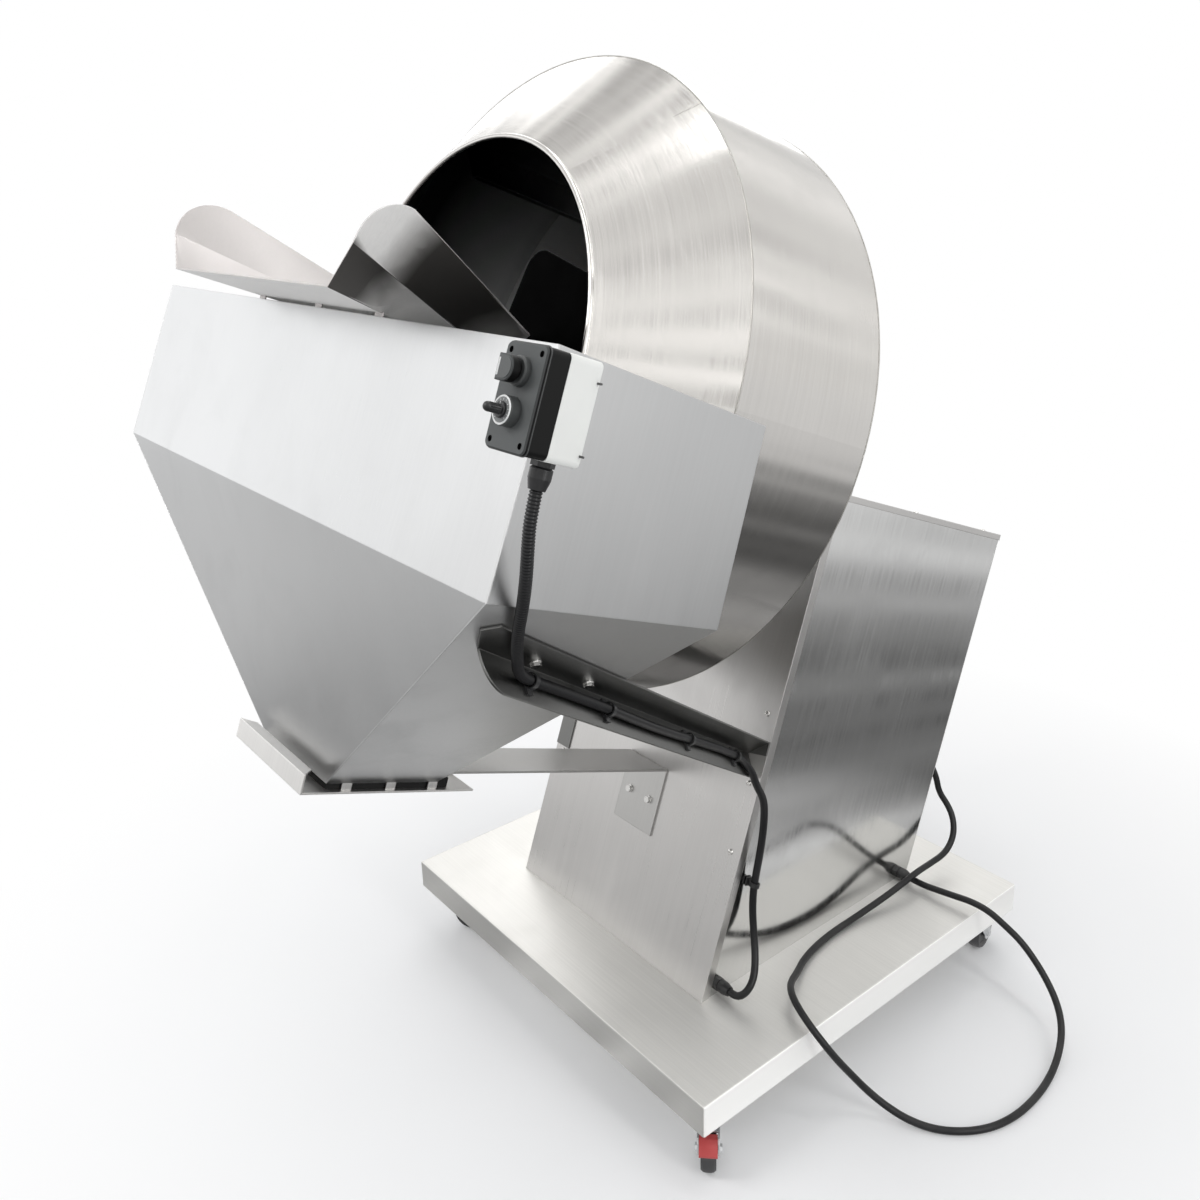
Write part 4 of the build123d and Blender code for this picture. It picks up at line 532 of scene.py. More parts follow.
def finish(name, skin, depth, shine, tint, roughness, bump, turn=(0.0, 0.0, 0.0), paint=None, **values):
    """A material that a skin fills; paint changes what the skin is given by place or direction."""
    if name in bpy.data.materials:
        return bpy.data.materials[name]
    material, tree, shader = blank_material(name)
    for key, value in shine.items():
        shader.inputs[key].default_value = value
    where = add(tree, "TexCoord")
    laid = add(tree, "Mapping", {"Vector": where["Object"], "Rotation": turn})[0]
    given = {"Vector": laid, "Tint": (*tint, 1), "Roughness": roughness}
    given.update({key.replace("_", " ").capitalize(): value for key, value in values.items()})
    if paint:
        given.update(paint(tree, where, shader.inputs))
    made = add(tree, "Group", given, node_tree=skin)
    plug(shader.inputs["Base Color"], made["Color"])
    plug(shader.inputs["Roughness"], made["Roughness"])
    grain = {"Height": made["Height"], "Normal": made["Normal"], "Strength": bump, "Distance": depth}
    plug(shader.inputs["Normal"], add(tree, "Bump", grain)[0])
    return material


def steel(name, tint, roughness, turn=(0.0, 0.0, 0.0), metal=1.0, bump=0.12, **values):
    """A brushed or rolled metal sheet; turn lays the brush marks along the sheet."""
    return finish(name, sheet_skin(), 0.0002, {"Metallic": metal}, tint, roughness, bump, turn, **values)


def moulded(name, tint, roughness, bump=0.25, coat=0.0, gloss=0.4, **values):
    """Plastic, rubber or paint."""
    shine = {"Coat Weight": coat, "Specular IOR Level": gloss}
    return finish(name, moulded_skin(), 0.00012, shine, tint, roughness, bump, **values)


def deck_steel(settings):
    """The base's satin sheet, lighter on its right edge as painted light and darker on its front edge as
    painted shade.
    """
    def paint(tree, where, inputs):
        facing = apart(where["Normal"])
        tone = 1.0 - ramp(facing["Y"], -0.5, -0.8, 0.0, 0.42) + ramp(facing["X"], 0.5, 0.8, 0.0, 0.40)
        return {"Tint": vectors("SCALE", tuple(settings.deck), tone)[0]}

    return steel("Base sheet", settings.deck, 0.42, metal=0.55, paint=paint, across=260.0, clouds=0.14,
                 scratches=0.5, edge_radius=0.003, edge_light=0.35)


def chute_steel(settings):
    """The chute's satin sheet, with painted light on faces that look a little downwards and painted shade
    where a face looks well downwards.
    """
    def paint(tree, where, inputs):
        down = apart(where["Normal"])["Z"]
        shaded = ramp(down, -0.44, -0.54) * ramp(down, -0.84, -0.72)
        outer = ramp(down, 0.0, -0.15)
        plug(inputs["Metallic"], ramp(outer * (1.0 - shaded), 0.0, 1.0, 1.0, 0.25))
        lit = blended(outer, (*settings.chute, 1), (0.86, 0.85, 0.835, 1))
        return {"Tint": blended(shaded, lit, (0.13, 0.125, 0.12, 1))}

    return steel("Chute sheet", settings.chute, 0.5, PANEL_TURN, paint=paint, across=280.0, grain=0.08)


def station_cover(settings):
    """The cover's plastic in its own grey on its front, painted near black round its sides as shade."""
    def paint(tree, where, inputs):
        faced = vectors("DOT_PRODUCT", where["Normal"], DRUM_AXIS, tree)["Value"]
        return {"Tint": blended(ramp(faced, 0.55, 0.85), (0.003, 0.003, 0.003, 1), (*settings.cover, 1))}

    return moulded("Station cover", settings.cover, 0.46, gloss=0.18, paint=paint, pebble=1200.0,
                   patches=0.15, edge_light=0.5, dust=0.0)


def drum_steel(settings):
    """The drum's sheets: brushed round the axis outside, with painted shade on faces that look downwards;
    rougher inside and painted dark there as shade, with painted light deep in.
    """
    def paint(tree, where, inputs):
        into = Matrix.Rotation(radians(180 - DRUM_SEAM), 4, "Z") @ DRUM.inverted()
        laid = add(tree, "Mapping", {
            "Vector": where["Object"], "Rotation": into.to_euler("XYZ"), "Location": into.translation})
        parts = apart(laid[0])
        x, y, z = parts["X"], parts["Y"], parts["Z"]
        flat = add(tree, "CombineXYZ", {"X": x, "Y": y})[0]
        radius = add(tree, "VectorMath", {0: flat}, operation="LENGTH")["Value"]
        round_way = add(tree, "CombineXYZ", {"X": y.math("ARCTAN2", x) * radius, "Y": z, "Z": radius})[0]
        slope = (DRUM_RADIUS - MOUTH_RADIUS) / (MOUTH_REACH - FRONT_SEAM)
        front = (MOUTH_REACH - z) * slope + (MOUTH_RADIUS - SHEET) - radius
        rear = (z - BACK_REACH) * slope + (MOUTH_RADIUS - SHEET) - radius
        inside = (radius < DRUM_RADIUS - 0.001) * (front > 0.0) * (rear > 0.0)
        inside = inside * (z > BACK_REACH + 0.001) * (z < MOUTH_REACH - 0.005)
        # Inside, the sheet is painted dark as shade, and lighter deep in as painted light.
        deep = ramp(x + y * -0.2, -0.30, 0.25) * ramp(z, 0.50, 0.30)
        shaded = blended(deep, (*settings.drum_inside, 1), (*settings.drum_glow, 1))
        inputs["Anisotropic"].default_value = 0.9
        plug(inputs["Tangent"], add(tree, "CombineXYZ", dict(enumerate(DRUM_AXIS)))[0])
        return {"Vector": round_way, "Tint": blended(inside, (*settings.drum, 1), shaded),
                "Roughness": ramp(inside, 0.0, 1.0, settings.drum_polish, 0.48)}

    return steel("Drum sheet", settings.drum, settings.drum_polish, paint=paint, bump=0.10, along=2.2,
                 across=520.0, grain=0.09, clouds=0.06, scratches=0.03, edge_light=0.15, under_film=0.55)


# Pieces

def nurbs_line(name, points, radius):
    """A cord's curve: one open NURBS spline with the route's points as its control points."""
    curve = bpy.data.curves.new(name, "CURVE")
    curve.dimensions = "3D"
    spline = curve.splines.new("NURBS")
    spline.points.add(len(points) - 1)
    for point, place in zip(spline.points, points):
        point.co = (*place, 1.0)
    spline.order_u = 3
    spline.use_endpoint_u = True
    spline.resolution_u = 8
    curve.bevel_depth = radius
    curve.bevel_resolution = 5
    curve.use_fill_caps = True
    piece = bpy.data.objects.new(name, curve)
    bpy.context.scene.collection.objects.link(piece)
    return piece


def coil_line():
    """The control points of the coil's turns."""
    reach = 1 / cos(pi / COIL_STEPS)
    points = []
    steps = int(COIL_SHAPE[-1][0] / 360 * COIL_STEPS)
    for i in range(1, steps + 1):
        turn = 360 * i / COIL_STEPS
        for (t0, r0, z0), (t1, r1, z1) in zip(COIL_SHAPE, COIL_SHAPE[1:]):
            if t0 <= turn <= t1:
                share = (turn - t0) / (t1 - t0)
                radius = (r0 + (r1 - r0) * share) * reach
                level = z0 + (z1 - z0) * share
                break
        angle = radians(-90 - turn)
        x, y = COIL_MIDDLE
        points.append((x + radius * cos(angle), y + radius * sin(angle), level))
    return points


def traced(name, points):
    """Points along a NURBS line, as Blender draws it without a bevel."""
    line = nurbs_line(name, points, 0.0)
    line.data.use_fill_caps = False
    line.data.splines[0].resolution_u = 24
    bpy.context.view_layer.update()
    mesh = bpy.data.meshes.new_from_object(line)
    found = [vertex.co.copy() for vertex in mesh.vertices]
    bpy.data.objects.remove(line)
    bpy.data.meshes.remove(mesh)
    return found


def measured(points):
    """The length of a line of points."""
    return sum((b - a).length for a, b in zip(points, points[1:]))


class MIXER_OT_power_cord(bpy.types.Operator):
    """Lays the power cord from the cabinet's gland over the floor and into its coil"""

    bl_idname = "mixer.power_cord"
    bl_label = "Power cord"

    def execute(self, context):
        sizes = context.scene.mixer_cords
        points = CORD_LINE + coil_line() + CORD_TAIL
        cord = nurbs_line("mains_cord", points, sizes.cord / 2)
        cord.data.materials.append(moulded(
            "Cord jacket", sizes.jacket, 0.42, bump=0.10, gloss=0.3, pebble=1400.0, patches=0.5, dust=0.05))
        long = measured(traced("cord_trace", points))
        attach(cord, "machine")
        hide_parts("power_cord", "cord_coil")
        plug = plug_piece(sizes)
        pins = plug_pins()
        return {"FINISHED"}


def plug_place():
    """The plug's frame: z along the cord's end, y up."""
    turn = Matrix(((-1, 0, 0), (0, 0, 1), (0, 1, 0))).to_4x4()
    return Matrix.Translation(CORD_TAIL[-1]) @ turn


def plug_piece(sizes):
    """The moulded plug with its ribbed relief, cut flat where it lies on the floor."""
    ribs = [(0.0072, 0.0)]
    for i in range(6):
        level = 0.003 + 0.0056 * i
        radius = 0.0074 + 0.0005 * i
        ribs += [(radius, level), (radius + 0.0007, level + 0.0004), (radius + 0.0007, level + 0.003),
                 (radius, level + 0.0034)]
    body = [(0.0112, 0.038), (0.0135, 0.0395), (0.0172, 0.048), (0.0182, 0.054), (0.0176, 0.056),
            (0.0176, 0.058), (0.0186, 0.060), (0.0192, 0.084), (0.0188, 0.0875), (0.0170, 0.0898)]
    plug = turned(ribs + body, 40)
    edit_faces(plug)
    bpy.ops.mesh.bisect(plane_co=(0, PLUG_CUT, 0), plane_no=(0, -1, 0), clear_outer=True, use_fill=True)
    end_edit()
    modify(plug, "BEVEL", width=0.0004, segments=2, angle_limit=radians(40))
    made = settle(plug, "plug_body", "machine", moulded(
        "Plug rubber", sizes.jacket, 0.48, bump=0.3, pebble=1100.0, patches=0.4, dust=0.12), plug_place())
    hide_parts("cord_plug")
    return made


def plug_pins():
    """The plug's three flat pins with their rounded ends."""
    pins = [block((x, y, 0.0985), (0.0062, 0.0018, 0.021), 0.0007)
            for x, y in ((-0.008, 0.0), (0.008, 0.0), (0.0, 0.012))]
    return settle(joined(pins), "plug_pins", "machine", steel(
        "Plug brass", (0.72, 0.62, 0.42), 0.25, along=20.0, across=600.0, edge_radius=0.0004), plug_place())


def arm_point(along, lift, out):
    """A point beside the right arm, in the cabinet's frame."""
    up = 0.0103 + lift
    reach = 0.150 + along * sin(ARM_SLOPE) + up * cos(ARM_SLOPE)
    return (0.112 + FACET_X * reach + FACET_Y * out, 0.364 + FACET_Y * reach - FACET_X * out,
            along * cos(ARM_SLOPE) - up * sin(ARM_SLOPE))


class MIXER_OT_conduit(bpy.types.Operator):
    """Lays the conduit from the station down the arm, ribbed down to its second clip"""

    bl_idname = "mixer.conduit"
    bl_label = "Conduit"

    def execute(self, context):
        sizes = context.scene.mixer_cords
        route = CONDUIT_DROP + [arm_point(*point) for point in CONDUIT_ARM] + CONDUIT_FOOT
        line = traced("conduit_trace", [PANEL @ Vector(point) for point in route])
        clip = PANEL @ Vector(arm_point(*RIB_CLIP))
        ribbed_to = measured(line[:min(range(len(line)), key=lambda i: (line[i] - clip).length) + 1])
        rings, path = conduit_rings(line, sizes, ribbed_to)
        tube = tube_mesh("conduit_tube", rings)
        tube.data.materials.append(moulded(
            "Conduit jacket", sizes.jacket, 0.38, bump=0.10, gloss=0.3, pebble=1400.0, patches=0.4,
            dust=0.04))
        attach(tube, "machine")
        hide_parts("conduit")
        round(measured(path), 3)
        return {"FINISHED"}


def conduit_rings(line, sizes, ribbed_to):
    """The rings of the conduit's tube as (centre, direction, radius), and its path."""
    full = sizes.conduit / 2
    quarter = sizes.rib_pitch / 4
    stations = []
    at = 0.0
    total = measured(line)
    while at < ribbed_to:
        for i, radius in enumerate((full - sizes.rib_depth, full - sizes.rib_depth, full, full)):
            stations.append((at + quarter * i, radius))
        at += sizes.rib_pitch
    while at < total:
        stations.append((at, full * 0.97))
        at += PLAIN_STEP
    stations.append((total, full * 0.97))
    rings = []
    index, done = 0, 0.0
    for place, radius in stations:
        step = (line[index + 1] - line[index]).length
        while done + step < place and index < len(line) - 2:
            done += step
            index += 1
            step = (line[index + 1] - line[index]).length
        way = line[index + 1] - line[index]
        rings.append((line[index] + way * min(1.0, (place - done) / step), way.normalized(), radius))
    return rings, [ring[0] for ring in rings]


def tube_mesh(name, rings, segments=16):
    """A closed tube through rings of (centre, direction, radius)."""
    side = rings[0][1].orthogonal().normalized()
    vertices, faces = [], []
    for centre, way, radius in rings:
        side = (side - way * side.dot(way)).normalized()
        other = way.cross(side)
        for i in range(segments):
            turn = 2 * pi * i / segments
            vertices.append(centre + (side * cos(turn) + other * sin(turn)) * radius)
    for j in range(len(rings) - 1):
        for i in range(segments):
            k = (i + 1) % segments
            low, high = j * segments, (j + 1) * segments
            faces.append((low + i, low + k, high + k, high + i))
    faces.append(tuple(reversed(range(segments))))
    faces.append(tuple(range(len(vertices) - segments, len(vertices))))
    mesh = bpy.data.meshes.new(name)
    mesh.from_pydata(vertices, [], faces)
    mesh.update()
    piece = bpy.data.objects.new(name, mesh)
    bpy.context.scene.collection.objects.link(piece)
    take(piece)
    bpy.ops.object.shade_smooth_by_angle(angle=radians(50))
    return piece


def cross_head(radius):
    """A domed screw head with a cross recess, its seat at z = 0."""
    head = turned([
        (radius, -0.001), (radius, radius * 0.16), (radius * 0.93, radius * 0.30),
        (radius * 0.75, radius * 0.42), (radius * 0.45, radius * 0.50), (radius * 0.12, radius * 0.53),
    ], 28)
    for wide, deep in ((1.05, 0.20), (0.20, 1.05)):
        cutter = block((0, 0, radius * 0.50), (radius * wide, radius * deep, radius * 0.46))
        head = combine(head, cutter, "DIFFERENCE")
    return head


def copies(master, places):
    """Joins a copy of the master at each place and removes the master."""
    made = joined([twin(master, place) for place in places])
    bpy.data.objects.remove(master)
    return made


def screw_seats():
    """The seats of the cover screws, in the machine's frame."""
    upright = Matrix.Rotation(radians(-90), 4, "X")
    seats = []
    for side in (-1, 1):
        for i in range(3):
            lift = 0.003 if side < 0 and i == 1 else 0.0
            place = (side * SCREW_SIDE, SCREW_LEVEL + SCREW_STEP * i, lift)
            seats.append(on_panel(*place) @ Matrix.Rotation(0.6 * i, 4, "Z"))
        for across, level, out in ((SCREW_SIDE, 0.956, -0.536), (SCREW_SIDE, 0.956, -0.284),
                                   (0.127, 0.9575, -0.212), (0.127, 0.9575, -0.040)):
            seats.append(on_panel(side * across, level, out) @ upright)
    return seats


class MIXER_OT_screws(bpy.types.Operator):
    """Sets the domed cross-head screws of the cabinet"""

    bl_idname = "mixer.screws"
    bl_label = "Cover screws"

    def execute(self, context):
        heads = copies(cross_head(context.scene.mixer_fittings.screw), screw_seats())
        settle(heads, "screw_heads", "machine", steel(
            "Screw steel", (0.72, 0.71, 0.69), 0.22, along=60.0, across=900.0, grain=0.12,
            edge_radius=0.0004, edge_light=0.2))
        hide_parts("cover_screws")
        return {"FINISHED"}


def rippled(piece, strength, size):
    """Gives a weld bead its small ripples."""
    texture = bpy.data.textures.new("weld_ripple", "CLOUDS")
    texture.noise_scale = size
    modify(piece, "DISPLACE", texture=texture, strength=strength, mid_level=0.5)
    return piece


class MIXER_OT_welds(bpy.types.Operator):
    """Lays the weld beads round and along the drum's sheets"""

    bl_idname = "mixer.welds"
    bl_label = "Drum welds"

    def execute(self, context):
        bead = context.scene.mixer_fittings.weld
        beads = []
        for level in (FRONT_SEAM, REAR_SEAM):
            ring = start("torus", major_radius=DRUM_RADIUS - bead * 0.2, minor_radius=bead * 0.75,
                         major_segments=240, minor_segments=8, location=(0, 0, level))
            beads.append(rippled(ring, bead * 0.5, 0.012))
        runs = [((MOUTH_RADIUS, MOUTH_REACH - 0.004), (DRUM_RADIUS, FRONT_SEAM), DRUM_SEAM),
                ((DRUM_RADIUS, FRONT_SEAM), (DRUM_RADIUS, REAR_SEAM), DRUM_SEAM + 175),
                ((DRUM_RADIUS, REAR_SEAM), (MOUTH_RADIUS, BACK_REACH), DRUM_SEAM + 120)]
        for (r0, z0), (r1, z1), turn in runs:
            beads.append(self.straight_bead(r0, z0, r1, z1, turn, bead))
        settle(joined(beads), "drum_welds", "drum", steel(
            "Weld bead", (0.36, 0.35, 0.33), 0.4, along=90.0, across=500.0, grain=0.3,
            edge_radius=0.0005), DRUM, angle=60.0)
        return {"FINISHED"}

    def straight_bead(self, r0, z0, r1, z1, turn, bead):
        """One bead along a sheet from one radius and level to another."""
        low, high = Vector((r0, 0, z0)), Vector((r1, 0, z1))
        way = high - low
        run = block((0, 0, 0), (way.length, bead * 1.4, bead * 0.8), bead * 0.3)
        edit_faces(run)
        bpy.ops.mesh.subdivide(number_cuts=5)
        end_edit()
        rippled(run, bead * 0.35, 0.008)
        x_way = way.normalized()
        y_way = Vector((0, 1, 0))
        z_way = x_way.cross(y_way)
        frame_of_run = Matrix((x_way, y_way, z_way)).transposed().to_4x4()
        run.matrix_world = (Matrix.Rotation(radians(turn), 4, "Z")
                            @ Matrix.Translation((low + high) / 2) @ frame_of_run)
        return run


class MIXER_OT_station(bpy.types.Operator):
    """Adds the dial, the knob grip, the button face, the well screws, the lip and the screw ends"""

    bl_idname = "mixer.station"
    bl_label = "Station details"

    def execute(self, context):
        sizes = context.scene.mixer_fittings
        white = moulded("Dial white", sizes.mark, 0.45, bump=0.05, patches=0.06, dust=0.0)
        black = moulded("Knob black", (0.016, 0.016, 0.017), 0.36, bump=0.2, pebble=1500.0)
        self.dial(sizes, white)
        self.knob(black, white)
        self.button(sizes, white)
        self.well_screws()
        self.lip_and_lugs()
        return {"FINISHED"}

    def dial(self, sizes, white):
        """The white ring, the grey scale plate and its marks on the knob's collar."""
        ring = start("torus", major_radius=sizes.dial, minor_radius=0.0010, major_segments=64,
                     minor_segments=10)
        bpy.ops.transform.resize(value=(1, 1, 0.7))
        ring.location = (STATION_X, KNOB_Y, COLLAR_TOP + 0.0002)
        marks = [ring]
        for i in range(11):
            mark = block((0, 0, 0), (0.0019, 0.0005, 0.0005), 0.00012)
            turn = Matrix.Rotation(radians(225 - 27 * i), 4, "Z") @ Matrix.Translation((0.0105, 0, 0))
            mark.matrix_world = Matrix.Translation((STATION_X, KNOB_Y, COLLAR_TOP + 0.0003)) @ turn
            marks.append(mark)
        settle(joined(marks), "dial_ring", "machine", white, PANEL)
        plate = turned([(sizes.dial - inset, COLLAR_TOP + rise) for inset, rise in (
            (0.0006, -0.0002), (0.0006, 0.00015), (0.0012, 0.00025))], 48)
        grey = moulded("Dial grey", (0.20, 0.205, 0.205), 0.5, bump=0.9, patches=0.5)
        settle(plate, "dial_plate", "machine", grey,
               on_panel(STATION_X, KNOB_Y))

    def knob(self, black, white):
        """The slim fluted knob that turns, with its pointer."""
        foot = COLLAR_TOP + 0.0003
        grip = turned([(radius, foot + rise) for radius, rise in (
            (0.0079, 0), (0.0081, 0.0004), (0.0081, 0.0024), (0.0076, 0.003), (0.0052, 0.0032),
            (0.0050, 0.0036), (0.0050, 0.0158), (0.0047, 0.0174), (0.0040, 0.0188), (0.0029, 0.0198),
            (0.0015, 0.0205))], 36)
        sides = {}
        for face in grip.data.polygons:
            middle = face.center
            if abs(face.normal.z) < 0.1 and foot + 0.004 < middle.z < foot + 0.015:
                sides[face.index] = middle
        flutes = set(sorted(sides, key=lambda i: Vector(sides[i].xy).angle_signed(Vector((1, 0))))[::3])
        edit_faces(grip, lambda face: face.index in flutes)
        bpy.ops.mesh.inset(thickness=0.00018, depth=-0.0005, use_individual=True)
        end_edit()
        stem = turned([(0.0029, STATION_FACE - 0.004), (0.0029, foot + 0.0002)], 24)
        place = on_panel(STATION_X, KNOB_Y)
        made = settle(joined([grip, stem]), "knob_grip", "speed_knob_body", black, place)
        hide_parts("speed_knob")
        pointer = block((0, 0.0063, foot + 0.0031), (0.0007, 0.0026, 0.0004), 0.0001)
        settle(pointer, "knob_pointer", "speed_knob_body", white, place)

    def button(self, sizes, white):
        """The raised face of the push button, round on the right and square on the left, and its strip."""
        face = start("cylinder", vertices=64, radius=0.0108, depth=0.0016)
        face.location.z = BUTTON_FACE
        face = combine(face, block((-0.0054, 0, BUTTON_FACE), (0.0108, 0.0216, 0.0016)), "UNION")
        modify(face, "BEVEL", width=0.0005, segments=3, angle_limit=radians(40))
        place = on_panel(STATION_X, BUTTON_Y)
        shade = moulded("Button grey", (0.075, 0.08, 0.08), 0.42, bump=0.2, patches=0.15, dust=0.03)
        settle(face, "button_face", "push_button_body", shade, place)
        strip = block((-0.0088, 0, BUTTON_FACE + 0.0003), (0.0022, 0.0170, 0.0020), 0.0005, 3)
        settle(strip, "button_strip", "push_button_body", white, place)

    def lip_and_lugs(self):
        """The narrow lip round the cover's front, and the screw ends behind the housing."""
        shade = moulded("Lip grey", (0.05, 0.052, 0.052), 0.4, bump=0.2, edge_radius=0.0004, edge_light=1.5)
        lip = start("plane", size=1.0)
        lip.scale = (LIP_WIDTH, LIP_HEIGHT, 1.0)
        lip.location = (STATION_X, STATION_Y, LIP_FOOT)
        bpy.ops.object.transform_apply()
        edit_faces(lip)
        bpy.ops.mesh.bevel(offset=LIP_CORNER, segments=6, affect="VERTICES")
        bpy.ops.mesh.select_all(action="SELECT")
        bpy.ops.mesh.extrude_region_move(TRANSFORM_OT_translate={"value": (0.0, 0.0, LIP_THICKNESS)})
        end_edit()
        modify(lip, "BEVEL", width=0.0005, segments=2)
        settle(lip, "cover_lip", "machine", shade, PANEL)
        dark = steel("Lug steel", (0.12, 0.12, 0.12), 0.4, along=60.0, across=900.0)
        lugs = []
        for y in LUG_LEVELS:
            lug = start("cylinder", vertices=24, radius=0.0012, depth=0.007,
                        location=(0.6588, y, 0.9012), rotation=(0, radians(90), 0))
            modify(lug, "BEVEL", width=0.0004, segments=2)
            lugs.append(lug)
        settle(joined(lugs), "station_lugs", "machine", dark, PANEL)

    def well_screws(self):
        """The dark screws in the cover's four wells."""
        seats = [on_panel(x, y, WELL_FLOOR) for x, y in WELL_PLACES]
        dark = steel("Dark screw", (0.10, 0.10, 0.10), 0.4, along=60.0, across=900.0, edge_radius=0.0003)
        settle(copies(cross_head(0.0029), seats), "well_screws", "machine", dark)


class MIXER_OT_marks(bpy.types.Operator):
    """Adds the dark spot marks on the hopper's slanted side"""

    bl_idname = "mixer.marks"
    bl_label = "Hopper marks"

    def execute(self, context):
        made = []
        out = Matrix(((FACET_X, 0, FACET_Y), (FACET_Y, 0, -FACET_X), (0, 1, 0))).to_4x4()
        for place in MARK_PLACES:
            mark = turned([(0.0065, -0.0004), (0.0065, 0.0002), (0.0058, 0.0005)], 24)
            bpy.ops.transform.resize(value=(1.0, 0.26, 1.0))
            mark.matrix_world = Matrix.Translation(place) @ out @ mark.matrix_world
            made.append(mark)
        settle(joined(made), "hopper_marks", "machine", steel(
            "Burnt mark", (0.10, 0.095, 0.09), 0.45, along=80.0, across=400.0), PANEL)
        return {"FINISHED"}


class MIXER_OT_chute(bpy.types.Operator):
    """Rounds the chute's front corners as widely as on the real sheet"""

    bl_idname = "mixer.chute"
    bl_label = "Chute"

    def execute(self, context):
        chute = frame["nodes"]["chute"].copy()
        chute.data = chute.data.copy()
        context.scene.collection.objects.link(chute)
        edit_faces(chute)
        end_edit()
        corner = block((0, 1.1496, 0.985), (0.8, 0.12, 0.12))
        edit_faces(corner)
        bpy.ops.mesh.bisect(plane_co=CORNER_MIDDLE, plane_no=(0, -CORNER_SLOPE, -1),
                            clear_outer=True, use_fill=True)
        end_edit()
        bar = start("cylinder", vertices=96, radius=CORNER_RADIUS, depth=0.9, location=CORNER_MIDDLE,
                    rotation=(0, radians(90), 0))
        corner = combine(corner, bar, "DIFFERENCE")
        corner.matrix_world = PANEL @ corner.matrix_world
        context.view_layer.update()
        chute = combine(chute, corner, "DIFFERENCE")
        made = settle(chute, "chute_sheet", "machine", chute_steel(context.scene.mixer_steel),
                      angle=8.0)
        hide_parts("chute")
        return {"FINISHED"}


class MIXER_OT_outlet(bpy.types.Operator):
    """Adds the upstand inside the outlet's slots, painted dark as shade"""

    bl_idname = "mixer.outlet"
    bl_label = "Outlet upstand"

    def execute(self, context):
        ring = block((0, 0.35975, 0.655), (0.213, 0.0165, 0.211))
        edit_faces(ring, lambda face: abs(face.normal.y) > 0.9)
        bpy.ops.mesh.delete(type="FACE")
        end_edit()
        modify(ring, "SOLIDIFY", thickness=0.0015, offset=-1.0)
        settle(ring, "outlet_upstand", "machine", steel(
            "Shaded sheet", (0.03, 0.03, 0.03), 0.5, along=4.0, across=200.0), PANEL)
        return {"FINISHED"}


def finishes(scene):
    """Every CAD node's material."""
    tones, fittings = scene.mixer_steel, scene.mixer_fittings
    panel = partial(steel, turn=PANEL_TURN, scratches=0.3, edge_radius=0.002)
    made = {
        "drum_steel": drum_steel(tones), "deck_steel": deck_steel(tones), "chute_steel": chute_steel(tones),
        "frame_steel": steel("Frame tube", (0.55, 0.55, 0.54), 0.36, along=5.0, across=240.0, grain=0.12),
        "zinc": steel("Zinc plate", (0.62, 0.63, 0.64), 0.32, along=40.0, across=160.0, grain=0.16,
                      clouds=0.25, edge_radius=0.001),
        "cabinet_steel": panel("Cabinet sheet", tones.cabinet, 0.32, across=280.0, grain=0.07),
        "bright_steel": steel("Bright steel", (0.70, 0.695, 0.68), 0.24, along=50.0, across=500.0,
                              edge_radius=0.0006),
        "hopper_steel": panel("Hopper sheet", tones.hopper, 0.34, grain=0.06, clouds=0.09, scratches=0.25,
                              under_film=0.38),
        "bracket_steel": panel("Arm sheet", tones.arm, 0.36, along=4.0, across=260.0, clouds=0.12,
                               edge_light=0.5, under_film=0.4),
        "cast_grey": moulded("Cast iron paint", (0.22, 0.24, 0.25), 0.5, bump=0.5, pebble=500.0),
        "gear_alloy": steel("Gear case alloy", (0.56, 0.57, 0.58), 0.48, along=120.0, across=140.0,
                            grain=0.2),
        "motor_paint": moulded("Motor paint", (0.10, 0.16, 0.22), 0.4, bump=0.3, coat=0.2, pebble=700.0),
        "drive_plastic": moulded("Drive box plastic", (0.28, 0.29, 0.29), 0.5),
        "ivory_plastic": moulded("Station housing", fittings.housing, 0.42, bump=0.12, pebble=1200.0,
                                 patches=0.05, dust=0.0, edge_light=0.08),
        "grey_plastic": station_cover(fittings), "button_plastic": station_cover(fittings),
        "collar_plastic": moulded("Collar plastic", (0.055, 0.058, 0.058), 0.4, bump=0.15, patches=0.15),
        "wheel_tread": moulded("Wheel tread", (0.05, 0.05, 0.052), 0.55, bump=0.4, pebble=600.0, dust=0.3),
        "brake_red": moulded("Brake red", fittings.pedal, 0.4, bump=0.2, edge_light=0.3),
    }
    for slot in ("black_plastic", "black_conduit", "black_cord"):
        made[slot] = moulded("Black nylon", (0.018, 0.018, 0.019), 0.36, bump=0.15, edge_light=0.9)
    nodes = {part["node"]: made[part["material_slot"]] for part in frame["record"]["subparts"]}
    for name in ("side_panel_right", "side_panel_left"):
        nodes[name] = panel("Cabinet side sheet", tones.side, tones.side_polish, bump=0.04, along=2.0,
                            across=200.0, grain=0.05, clouds=0.08)
    # The drum's back sheet takes the painted light of the drum's inside as its colour.
    nodes["drum_back"] = steel("Drum back sheet", tones.drum_glow, 0.50, along=6.0, across=320.0, grain=0.14)
    nodes["centre_strap"] = panel("Strap sheet", (0.50, 0.495, 0.485), 0.34, along=4.0, across=260.0,
                                  grain=0.08, under_film=0.4)
    # The scoop is painted near black as shade, with a strong painted highlight along its edges.
    nodes["drum_scoop"] = moulded("Scoop shade", (0.003, 0.003, 0.003), 0.9, bump=0.1, gloss=0.0,
                                  patches=0.5, edge_radius=0.0015, edge_light=40.0, dust=0.0)
    nodes["outlet_plate"] = steel("Outlet sheet", (0.76, 0.75, 0.735), 0.4, PANEL_TURN, across=280.0,
                                  grain=0.08)
    return nodes


